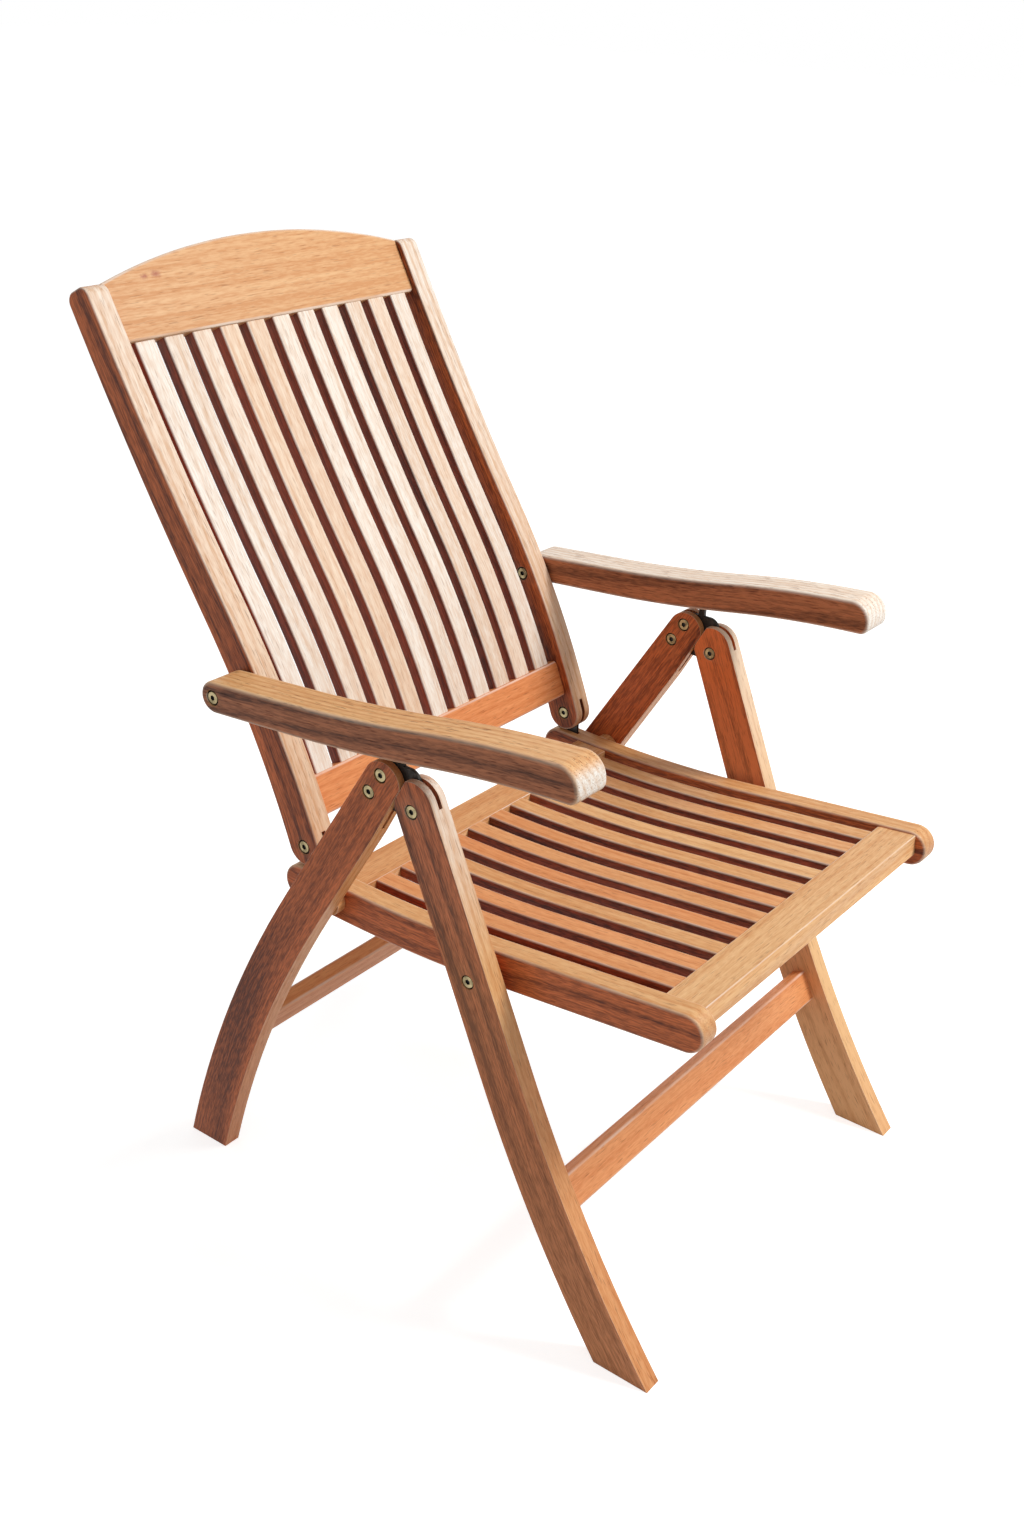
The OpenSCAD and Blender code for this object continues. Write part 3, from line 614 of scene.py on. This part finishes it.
def lay_grain(bm):
    """Each point's place along, across and through the board, and how much it is end, edge and side."""
    points = points_of(bm)
    spread = np.ptp(points, axis=0)
    across_chair = spread[0] > max(spread[1], spread[2])
    place, heading = straight_course(points) if across_chair else bent_course(bm)
    bm.normal_update()
    normals = np.array([v.normal for v in bm.verts])
    end = np.abs((normals * heading).sum(axis=1)) ** END_SHARPNESS
    rounded = bm.faces.layers.int.get("rounded")
    edge = [float(rounded is not None and all(f[rounded] for f in v.link_faces)) for v in bm.verts]
    # Faces turned across the chair take the sides' deep colour, which is partly painted shade
    side = np.clip((np.abs(normals[:, 0]) - SIDE_FROM) / (SIDE_TO - SIDE_FROM), 0, 1)
    return {"grain_place": place, "end_grain": end, "edge": np.array(edge),
            "side": side * (not across_chair)}


class Look(NamedTuple):
    """How a piece of wood differs from its like.

    Warmth is 0 for cream, 0.5 for honey and 1 for orange, from the piece's lowest point to its highest.
    With the heart of its tree at 0 degrees its sides show straight lines, and at 90 the flames of flat
    cuts. Its sides are as deep as its finish's at 1 and like its faces at 0, again from low to high; that
    depth is partly the wood's own and partly painted shade. Bleach takes warmth from its ends, partly
    as bleaching and partly as a painted highlight.
    """

    low_warmth: float
    high_warmth: float
    tone: float
    end: float
    heart: float
    low_side: float = 1.0
    high_side: float = 1.0
    bleach_and_highlight: float = 0.0
    most_warmth: float = 1.0


# Warmth low and high, tone, end grain and heart of each kind of piece, or of one piece by itself
LOOKS = {
    # Painted shade: the front legs grow deeper orange towards the foot, partly for the shade under the
    # seat
    "front_leg": Look(1.35, 0.08, 0.04, 0.5, 12, low_side=0.46, most_warmth=0.72),
    # Painted light: the left front leg is a paler, lit copy of the front legs' finish
    "front_leg_left": Look(0.66, 0.25, -0.55, 0.2, 12, low_side=0.05, high_side=1.1),
    "rear_leg": Look(0.85, 0.60, 0.16, 0.5, 74),
    "front_stretcher": Look(0.84, 0.84, -0.20, 0.0, 20),
    "rear_stretcher": Look(0.80, 0.80, 0.15, 0.0, 20),
    "seat_rail": Look(0.50, 0.50, 0.05, 0.4, 30),
    "seat_front_bar": Look(0.45, 0.45, 0.05, 0.0, 30),
    "seat_rear_bar": Look(0.60, 0.60, 0.15, 0.0, 30),
    "seat_pivot_spacers": Look(0.60, 0.60, 0.20, 0.3, 30),
    "seat_guide_spacers": Look(0.60, 0.60, 0.20, 0.3, 30),
    "back_stile": Look(0.30, 0.18, 0.14, 0.7, 55),
    "back_stile_left": Look(0.32, 0.04, 0.06, 0.5, 55),
    "back_top_rail": Look(0.42, 0.46, 0.16, 0.2, 14),
    "back_bottom_rail": Look(0.85, 0.85, 0.0, 0.0, 20),
    "armrest": Look(0.50, 0.56, -0.05, 0.0, 25, bleach_and_highlight=0.75),
    "armrest_left": Look(0.10, 0.16, -0.12, 0.0, 25, bleach_and_highlight=0.2),
}


def look_of(node):
    """The look of a node, its own or its kind's."""
    return LOOKS.get(node) or LOOKS[node.removesuffix("_right").removesuffix("_left")]


def own_place(node, look):
    """Where in its tree a board was cut, so that no two pieces share their grain."""
    rng = np.random.default_rng(zlib.crc32(node.encode()))
    radius = rng.uniform(*CUT_RADIUS)
    angle = math.radians(look.heart + rng.uniform(-HEART_DRIFT, HEART_DRIFT))
    return np.array([rng.uniform(0, TREE_LENGTH), radius * math.cos(angle), radius * math.sin(angle)])


def own_tone(node, look, spread):
    """How much darker or paler than its finish a board is."""
    rng = np.random.default_rng(zlib.crc32(node.encode()) + 1)
    return look.tone + spread * rng.uniform(-TONE_REACH, TONE_REACH)


def bolt_axes():
    """Where the bolts run, as points of the side view."""
    nodes = [node for node in NODES if node.endswith("bolts")]
    return np.array([(low[1:] + high[1:]) / 2 for node in nodes for low, high in solids_of(node)])


def hole_shade_and_grime(mesh):
    """1 at the points of a mesh that lie inside a bolt's hole, where painted shade and grime go, and 0
    elsewhere and at its rims.
    """
    points = np.array([v.co for v in mesh.vertices])
    reach = np.linalg.norm(points[:, None, 1:] - bolt_axes()[None], axis=2).min(axis=1)
    below = np.minimum(points[:, 0] - points[:, 0].min(), points[:, 0].max() - points[:, 0])
    return ((reach < HOLE_REACH) & (below > HOLE_RIM)).astype(float)


def store(mesh, name, values):
    """Keeps one number or vector for each point."""
    values = np.asarray(values, np.float32)
    kind, key = ("FLOAT_VECTOR", "vector") if values.ndim == 2 else ("FLOAT", "value")
    layer = mesh.attributes.new(name, kind, "POINT")
    layer.data.foreach_set(key, values.ravel())


def as_object(name, bm):
    """A new object at the origin for a mesh that was being edited."""
    mesh = bpy.data.meshes.new(name)
    bm.to_mesh(mesh)
    bm.free()
    layer = mesh.attributes.get("rounded")
    if layer:
        mesh.attributes.remove(layer)
    return with_mesh(name, mesh)


def with_mesh(name, mesh):
    """A new object for a finished mesh, smooth but for its sharp corners."""
    mesh.shade_smooth()
    mesh.set_sharp_from_angle(angle=SMOOTH_ANGLE)
    piece = bpy.data.objects.new(name, mesh)
    bpy.context.scene.collection.objects.link(piece)
    return piece


def settle(piece, nodes):
    """Gives a finished piece its finish and its body, and lets it stand for its nodes."""
    body, slot = BODY_OF[nodes[0]], SLOT_OF[nodes[0]]
    piece.data.materials.clear()
    piece.data.materials.append(material_for(slot))
    weights = piece.modifiers.new("even_shading", "WEIGHTED_NORMAL")
    weights.keep_sharp = True
    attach(piece, body)
    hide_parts(*nodes)


def board(node, width, joined_ends=False):
    """A wooden piece: its node's solid with rounded edges and grain along it."""
    w = bpy.context.scene.chair_wood
    look = look_of(node)
    bm = clean_copy(node)
    if node in STRETCHER_TURN:
        turn = Matrix.Rotation(STRETCHER_TURN[node], 3, "X")
        bmesh.ops.rotate(bm, cent=axis_of(node), matrix=turn, verts=bm.verts)
    if "_leg_" in node:
        close_mortise(bm, node.split("_")[0] + "_stretcher")
    round_piece(bm, width, w.cut_edge, ACROSS_CHAIR if joined_ends else None)
    layers = lay_grain(bm)
    piece = as_object("wood_" + node, bm)
    height = np.array([v.co.z for v in piece.data.vertices])
    up = (height - height.min()) / np.ptp(height)
    layers["grain_place"] += own_place(node, look)
    # The sides' deep colour, partly painted shade, scaled from the foot to the top
    layers["side"] *= look.low_side + (look.high_side - look.low_side) * up
    # Ends turn paler, partly by bleaching and partly as a painted highlight
    bleached_and_highlit = look.bleach_and_highlight * layers["end_grain"]
    layers["end_grain"] *= look.end
    layers["tone"] = np.full(len(height), own_tone(node, look, w.tone_spread))
    warmth = look.low_warmth + (look.high_warmth - look.low_warmth) * up - bleached_and_highlit
    layers["warmth"] = np.minimum(warmth, look.most_warmth)
    # Points inside bolt holes, which take painted shade and grime
    layers["hole_shade_and_grime"] = hole_shade_and_grime(piece.data)
    for name, values in layers.items():
        store(piece.data, name, values)
    settle(piece, [node])


def fitting(node):
    """A metal piece: its node's solids with fine rounded edges."""
    m = bpy.context.scene.chair_metal
    bm = clean_copy(node)
    outside, recess = sharp_outer_edges(bm)
    bevel(bm, outside + recess, m.plate_edge, PLATE_SEGMENTS)
    piece = as_object("fitting_" + node, bm)
    store(piece.data, "recess", np.zeros(len(piece.data.vertices)))
    settle(piece, [node])


def grown_piece(name, mesh, group, values):
    """The plain mesh that a Geometry Nodes group makes of a mesh and its named values."""
    holder = bpy.data.objects.new(name + "_rule", mesh)
    bpy.context.scene.collection.objects.link(holder)
    modifier = holder.modifiers.new(name, "NODES")
    modifier.node_group = group
    for item in group.interface.items_tree:
        if item.in_out == "INPUT" and item.name in values:
            modifier[item.identifier] = values[item.name]
    holder.update_tag()
    depsgraph = bpy.context.evaluated_depsgraph_get()
    depsgraph.update()
    made = bpy.data.meshes.new_from_object(holder.evaluated_get(depsgraph), preserve_all_data_layers=True,
                                           depsgraph=depsgraph)
    made.name = name
    bpy.data.objects.remove(holder)
    return with_mesh(name, made)


def keep(t, geometry, name, value, kind, domain):
    """The geometry with a value kept under a name for each of its instances or points."""
    inputs = {"Geometry": geometry, "Name": name, "Value": value}
    return t.add("GeometryNodeStoreNamedAttribute", inputs, data_type=kind, domain=domain).outputs[0]


def keep_random(t, geometry, name, low, high, seed, kind="FLOAT"):
    """The geometry with a random value kept under a name for each of its instances."""
    drawn = t.add("FunctionNodeRandomValue", {"Min": low, "Max": high, "Seed": seed}, data_type=kind)
    value = drawn.outputs[0 if kind == "FLOAT_VECTOR" else 1]
    return keep(t, geometry, name, value, kind, "INSTANCE")


def kept_vector(t, name):
    """A vector that a mesh keeps under a name."""
    return t.add("GeometryNodeInputNamedAttribute", {"Name": name}, data_type="FLOAT_VECTOR").outputs[0]


def with_material(t, geometry, given, out):
    """A Geometry Nodes group once its geometry has its material and goes out."""
    done = t.add("GeometryNodeSetMaterial", {"Geometry": geometry, "Material": given["Material"]})
    t.fill(out, {0: done.outputs[0]})
    return t.tree


def slat_row_group(name):
    """A row of slats across the chair, each with its own tone and its own stretch of grain."""
    t, given, out = new_group(
        "GeometryNodeTree", name,
        [("Geometry", GEOMETRY), ("Slat", OBJECT), ("Count", WHOLE), ("Pitch", FLOAT), ("Seed", WHOLE),
         ("Tone spread", FLOAT), ("Warmth low", FLOAT), ("Warmth high", FLOAT), ("Material", MATERIAL)],
        [("Geometry", GEOMETRY)])
    pitch, seed, spread = given["Pitch"], given["Seed"], given["Tone spread"]
    gaps = t.math("SUBTRACT", given["Count"], 1.0)
    half = t.math("MULTIPLY", t.math("MULTIPLY", gaps, pitch), -0.5)
    start = t.add("ShaderNodeCombineXYZ", {"X": half}).outputs[0]
    step = t.add("ShaderNodeCombineXYZ", {"X": pitch}).outputs[0]
    line = t.add("GeometryNodeMeshLine", {
        "Count": given["Count"], "Start Location": start, "Offset": step}, mode="OFFSET")
    slat = t.add("GeometryNodeObjectInfo", {"Object": given["Slat"]})
    row = t.add("GeometryNodeInstanceOnPoints", {
        "Points": line.outputs[0], "Instance": slat.outputs["Geometry"]}).outputs[0]
    palest, darkest = t.math("MULTIPLY", spread, -0.5), t.math("MULTIPLY", spread, 0.5)
    row = keep_random(t, row, "tone", palest, darkest, seed)
    row = keep_random(t, row, "warmth", given["Warmth low"], given["Warmth high"],
                      t.math("ADD", seed, WARMTH_SEED))
    row = keep_random(t, row, "cut_place", SLAT_CUT_LOW, SLAT_CUT_HIGH, t.math("ADD", seed, CUT_SEED),
                      "FLOAT_VECTOR")
    real = t.add("GeometryNodeRealizeInstances", {"Geometry": row}).outputs[0]
    place = t.vector("ADD", kept_vector(t, "grain_place"), kept_vector(t, "cut_place"))
    laid = keep(t, real, "grain_place", place, "FLOAT_VECTOR", "POINT")
    return with_material(t, laid, given, out)


def slat_row(name, nodes, warmth, seed):
    """Replaces a row of slats by one mesh grown from the middle slat."""
    w = bpy.context.scene.chair_wood
    middle = nodes[len(nodes) // 2]
    first_low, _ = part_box(nodes[0])
    next_low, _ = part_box(nodes[1])
    pitch = abs(next_low.x - first_low.x)
    bm = clean_copy(middle)
    round_piece(bm, w.slat_edge, w.cut_edge, Vector((0, *chord(points_of(bm)[:, 1:]))))
    middle_low, middle_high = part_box(middle)
    bmesh.ops.translate(bm, vec=(-(middle_low.x + middle_high.x) / 2, 0, 0), verts=bm.verts)
    layers = lay_grain(bm)
    slat = as_object(name + "_one", bm)
    # The slats' sides take the deep colour with painted shade, and their edges the wear with painted
    # highlight
    for title in ("grain_place", "edge", "side"):
        store(slat.data, title, layers[title])
    piece = grown_piece(name, bpy.data.meshes.new(name), group_named("slat_row", slat_row_group), {
        "Slat": slat, "Count": len(nodes), "Pitch": pitch, "Seed": seed, "Tone spread": w.tone_spread,
        "Warmth low": warmth[0], "Warmth high": warmth[1], "Material": material_for(SLOT_OF[middle])})
    bpy.data.objects.remove(slat)
    settle(piece, nodes)


def head_row(bm, z, radius, six_sided=False):
    """One ring of a bolt head's points, round or six-sided."""
    row = []
    for i in range(HEAD_CORNERS):
        a = 2 * math.pi * i / HEAD_CORNERS
        reach = radius
        if six_sided:
            reach *= math.cos(math.pi / 6) / math.cos((a % (math.pi / 3)) - math.pi / 6)
        row.append(bm.verts.new((reach * math.cos(a), reach * math.sin(a), z)))
    return row


def bolt_head(m):
    """A flat round head with a softened rim and a hex socket, its underside at z = 0."""
    rim = m.head_height * HEAD_RIM
    profile = [(0.0, m.head_radius), (m.head_height - rim, m.head_radius)]
    profile += [(m.head_height - rim + rim * math.sin(a), m.head_radius - rim * (1 - math.cos(a)))
                for a in (math.pi / 6, math.pi / 3, math.pi / 2)]
    profile += [(m.head_height, m.socket_radius * HEAD_FLAT)]
    bm = bmesh.new()
    socket_shade = bm.verts.layers.float.new("recess")
    rows = [head_row(bm, z, radius) for z, radius in profile]
    for z in (m.head_height, m.head_height - SOCKET_LIP, m.head_height * SOCKET_FLOOR):
        rows.append(head_row(bm, z, m.socket_radius, six_sided=True))
    # The socket's wall below its lip and its floor are marked for painted shade
    for v in rows[-2] + rows[-1]:
        v[socket_shade] = 1.0
    for lower, upper in zip(rows, rows[1:]):
        for i in range(HEAD_CORNERS):
            j = (i + 1) % HEAD_CORNERS
            bm.faces.new((lower[i], lower[j], upper[j], upper[i]))
    bm.faces.new(rows[-1])
    bm.faces.new(list(reversed(rows[0])))
    bmesh.ops.recalc_face_normals(bm, faces=bm.faces)
    return bm


def bolts_group(name):
    """Bolts along edges: a shank on each edge and a head on each of its ends."""
    t, given, out = new_group(
        "GeometryNodeTree", name,
        [("Geometry", GEOMETRY), ("Head", OBJECT), ("Shank radius", FLOAT), ("Material", MATERIAL)],
        [("Geometry", GEOMETRY)])
    head = t.add("GeometryNodeObjectInfo", {"Object": given["Head"]})
    turn = t.add("FunctionNodeAlignRotationToVector", {"Vector": kept_vector(t, "facing")}, axis="Z")
    heads = t.add("GeometryNodeInstanceOnPoints", {
        "Points": given["Geometry"], "Instance": head.outputs["Geometry"], "Rotation": turn.outputs[0]})
    line = t.add("GeometryNodeMeshToCurve", {"Mesh": given["Geometry"]})
    ring = t.add("GeometryNodeCurvePrimitiveCircle", {
        "Resolution": SHANK_CORNERS, "Radius": given["Shank radius"]})
    shank = t.add("GeometryNodeCurveToMesh", {
        "Curve": line.outputs[0], "Profile Curve": ring.outputs[0], "Fill Caps": True})
    both = t.add("GeometryNodeJoinGeometry", {0: heads.outputs[0]})
    t.fill(both, {0: shank.outputs[0]})
    real = t.add("GeometryNodeRealizeInstances", {"Geometry": both.outputs[0]})
    return with_material(t, real.outputs[0], given, out)


def solids_of(node):
    """The boxes of a node's separate solids, as (lowest corner, highest corner)."""
    bm = clean_copy(node)
    left = set(bm.verts)
    boxes = []
    while left:
        found, todo = set(), [left.pop()]
        while todo:
            v = todo.pop()
            found.add(v)
            for e in v.link_edges:
                other = e.other_vert(v)
                if other in left:
                    left.remove(other)
                    todo.append(other)
        points = np.array([v.co for v in found])
        boxes.append((points.min(axis=0), points.max(axis=0)))
    bm.free()
    return sorted(boxes, key=lambda box: tuple(box[0]))


def bolts(name, nodes):
    """Replaces bolt nodes of one body by bolts with worked heads."""
    m = bpy.context.scene.chair_metal
    ends, facings = [], []
    for node in nodes:
        for low, high in solids_of(node):
            y, z = (low[1:] + high[1:]) / 2
            ends += [(low[0] + m.head_height, y, z), (high[0] - m.head_height, y, z)]
            facings += [(-1, 0, 0), (1, 0, 0)]
    mesh = bpy.data.meshes.new(name)
    mesh.from_pydata(ends, [(i, i + 1) for i in range(0, len(ends), 2)], [])
    store(mesh, "facing", facings)
    head = as_object(name + "_head", bolt_head(m))
    piece = grown_piece(name, mesh, group_named("bolts", bolts_group), {
        "Head": head, "Shank radius": m.shank_radius, "Material": material_for(SLOT_OF[nodes[0]])})
    bpy.data.objects.remove(head)
    settle(piece, nodes)


class CHAIR_OT_front_legs(bpy.types.Operator):
    """Finish the two front legs"""

    bl_idname = "chair.front_legs"
    bl_label = "Front legs"

    def execute(self, context):
        for side in SIDES:
            board("front_leg_" + side, context.scene.chair_wood.leg_edge)
        return {"FINISHED"}


class CHAIR_OT_rear_legs(bpy.types.Operator):
    """Finish the two rear legs"""

    bl_idname = "chair.rear_legs"
    bl_label = "Rear legs"

    def execute(self, context):
        for side in SIDES:
            board("rear_leg_" + side, context.scene.chair_wood.leg_edge)
        return {"FINISHED"}


class CHAIR_OT_stretchers(bpy.types.Operator):
    """Finish the bars between the legs"""

    bl_idname = "chair.stretchers"
    bl_label = "Stretchers"

    def execute(self, context):
        for node in ("front_stretcher", "rear_stretcher"):
            board(node, context.scene.chair_wood.leg_edge, joined_ends=True)
        return {"FINISHED"}


class CHAIR_OT_seat_frame(bpy.types.Operator):
    """Finish the seat's two rails and two crossbars"""

    bl_idname = "chair.seat_frame"
    bl_label = "Seat frame"

    def execute(self, context):
        w = context.scene.chair_wood
        for side in SIDES:
            board("seat_rail_" + side, w.leg_edge)
        for node in ("seat_front_bar", "seat_rear_bar"):
            board(node, w.leg_edge, joined_ends=True)
        return {"FINISHED"}


class CHAIR_OT_seat_slats(bpy.types.Operator):
    """Grow the row of seat slats"""

    bl_idname = "chair.seat_slats"
    bl_label = "Seat slats"

    def execute(self, context):
        w = context.scene.chair_wood
        slat_row("seat_slat_row", numbered("seat_slat"), SEAT_WARMTH, w.seed)
        return {"FINISHED"}


class CHAIR_OT_back_frame(bpy.types.Operator):
    """Finish the back's two stiles and two rails"""

    bl_idname = "chair.back_frame"
    bl_label = "Back frame"

    def execute(self, context):
        w = context.scene.chair_wood
        for side in SIDES:
            board("back_stile_" + side, w.leg_edge)
        for node in ("back_top_rail", "back_bottom_rail"):
            board(node, w.leg_edge, joined_ends=True)
        return {"FINISHED"}


class CHAIR_OT_back_slats(bpy.types.Operator):
    """Grow the row of back slats"""

    bl_idname = "chair.back_slats"
    bl_label = "Back slats"

    def execute(self, context):
        w = context.scene.chair_wood
        slat_row("back_slat_row", numbered("back_slat"), BACK_WARMTH, w.seed + BACK_SEED)
        return {"FINISHED"}


class CHAIR_OT_armrests(bpy.types.Operator):
    """Finish the two armrests"""

    bl_idname = "chair.armrests"
    bl_label = "Armrests"

    def execute(self, context):
        for side in SIDES:
            board("armrest_" + side, context.scene.chair_wood.arm_edge)
        return {"FINISHED"}


class CHAIR_OT_bolts(bpy.types.Operator):
    """Grow the bolts of every pivot and plate"""

    bl_idname = "chair.bolts"
    bl_label = "Bolts"

    def execute(self, context):
        bolts("front_leg_bolts", ["leg_pivot_bolts", "seat_pivot_bolts"])
        bolts("rear_leg_bolts", ["plate_bolts"])
        bolts("back_bolts_row", ["back_hinge_bolts"])
        bolts("arm_bolts_row", ["arm_pivot_bolts"])
        return {"FINISHED"}


class CHAIR_OT_fittings(bpy.types.Operator):
    """Finish the steel plates, catches, pegs and spacers"""

    bl_idname = "chair.fittings"
    bl_label = "Fittings"

    def execute(self, context):
        for node in FITTINGS:
            fitting(node)
        for node in ("seat_pivot_spacers", "seat_guide_spacers"):
            board(node, context.scene.chair_wood.cut_edge * 2)
        return {"FINISHED"}


def key_lamp(stage):
    """A square soft lamp in front of the chair, over the sitter's left."""
    data = bpy.data.lights.new("key", "AREA")
    data.energy = stage.key
    data.size = LAMP_WIDTH
    holder = bpy.data.objects.new("key", data)
    holder.location = LAMP_PLACE
    holder.rotation_euler = (LAMP_AIM - LAMP_PLACE).to_track_quat("-Z", "Y").to_euler()
    bpy.context.scene.collection.objects.link(holder)


def photo_camera(stage):
    """The camera that sees the chair as the photo does, placed from the legs' pivot."""
    data = bpy.data.cameras.new("camera")
    data.sensor_fit = "VERTICAL"
    data.sensor_height = FRAME_HEIGHT
    data.lens = stage.lens
    data.shift_x, data.shift_y = CAMERA_SHIFT
    forward, right = CAMERA_FORWARD.normalized(), CAMERA_RIGHT.normalized()
    up = right.cross(forward).normalized()
    turn = Matrix((right, up, -forward)).transposed()
    fold = next(joint for joint in RECORD["behaviour"]["joints"] if joint["name"] == "fold")
    place = CAMERA_PLACE + Vector((0, fold["pos_m"][1], 0))
    holder = bpy.data.objects.new("camera", data)
    holder.matrix_world = Matrix.Translation(place) @ turn.to_4x4()
    bpy.context.scene.collection.objects.link(holder)
    bpy.context.scene.camera = holder


def seen_by_eye(tree):
    """1 for what is seen directly, mirrored or through glass, and 0 for the light on the chair."""
    path = tree.add("ShaderNodeLightPath")
    seen = tree.math("ADD", path.outputs["Is Camera Ray"], path.outputs["Is Glossy Ray"])
    return tree.math("ADD", seen, path.outputs["Is Transmission Ray"], clamp=True)


def white_floor(stage):
    """A plain pale floor that runs into the white surroundings and keeps the chair's shadow."""
    material, t, shader = new_material("floor")
    t.fill(shader, {"Base Color": rgba(stage.floor_grey), "Roughness": 1.0, "Specular IOR Level": 0.0,
                    "Emission Color": WHITE,
                    "Emission Strength": t.math("MULTIPLY", seen_by_eye(t), stage.floor_glow)})
    bm = bmesh.new()
    bmesh.ops.create_grid(bm, x_segments=1, y_segments=1, size=FLOOR_REACH)
    floor = as_object("floor", bm)
    floor.data.materials.append(material)


def white_surroundings(stage):
    """An even sky: white to the eye, plain and soft on the chair."""
    world = bpy.data.worlds.new("surroundings")
    world.use_nodes = True
    t = Tree(world.node_tree)
    strength = t.span(seen_by_eye(t), 0, 1, stage.sky, 1.0)
    t.fill(world.node_tree.nodes["Background"], {"Color": WHITE, "Strength": strength})
    bpy.context.scene.world = world


class CHAIR_OT_stage(bpy.types.Operator):
    """Set out the floor, the lamp and the camera"""

    bl_idname = "chair.stage"
    bl_label = "Stage"

    def execute(self, context):
        stage = context.scene.chair_stage
        white_floor(stage)
        white_surroundings(stage)
        key_lamp(stage)
        photo_camera(stage)
        context.scene.view_settings.view_transform = "Standard"
        return {"FINISHED"}


OPERATORS = (
    CHAIR_OT_stage,
    CHAIR_OT_front_legs,
    CHAIR_OT_rear_legs,
    CHAIR_OT_stretchers,
    CHAIR_OT_seat_frame,
    CHAIR_OT_seat_slats,
    CHAIR_OT_back_frame,
    CHAIR_OT_back_slats,
    CHAIR_OT_armrests,
    CHAIR_OT_bolts,
    CHAIR_OT_fittings,
)


class CHAIR_PT_panel(bpy.types.Panel):
    """Lists the armchair's pieces and settings"""

    bl_idname = "CHAIR_PT_panel"
    bl_label = "Armchair"
    bl_space_type = "VIEW_3D"
    bl_region_type = "UI"
    bl_category = "Armchair"

    def draw(self, context):
        for operator in OPERATORS:
            self.layout.operator(operator.bl_idname)
        for title in SETTINGS:
            settings = getattr(context.scene, title)
            box = self.layout.box()
            for key in settings.__annotations__:
                box.prop(settings, key)


SETTINGS = {"chair_wood": ChairWood, "chair_metal": ChairMetal, "chair_stage": ChairStage}
CLASSES = (*SETTINGS.values(), *OPERATORS, CHAIR_PT_panel)


def register():
    """Registers the settings, the operators and the panel."""
    for item in CLASSES:
        bpy.utils.register_class(item)
    for title, kind in SETTINGS.items():
        setattr(bpy.types.Scene, title, PointerProperty(type=kind))


def unregister():
    """Takes them away again."""
    for title in SETTINGS:
        delattr(bpy.types.Scene, title)
    for item in reversed(CLASSES):
        bpy.utils.unregister_class(item)


def main():
    """Makes the stage and every piece."""
    register()
    for operator in OPERATORS:
        group, name = operator.bl_idname.split(".")
        getattr(getattr(bpy.ops, group), name)()


if __name__ == "__main__":
    main()
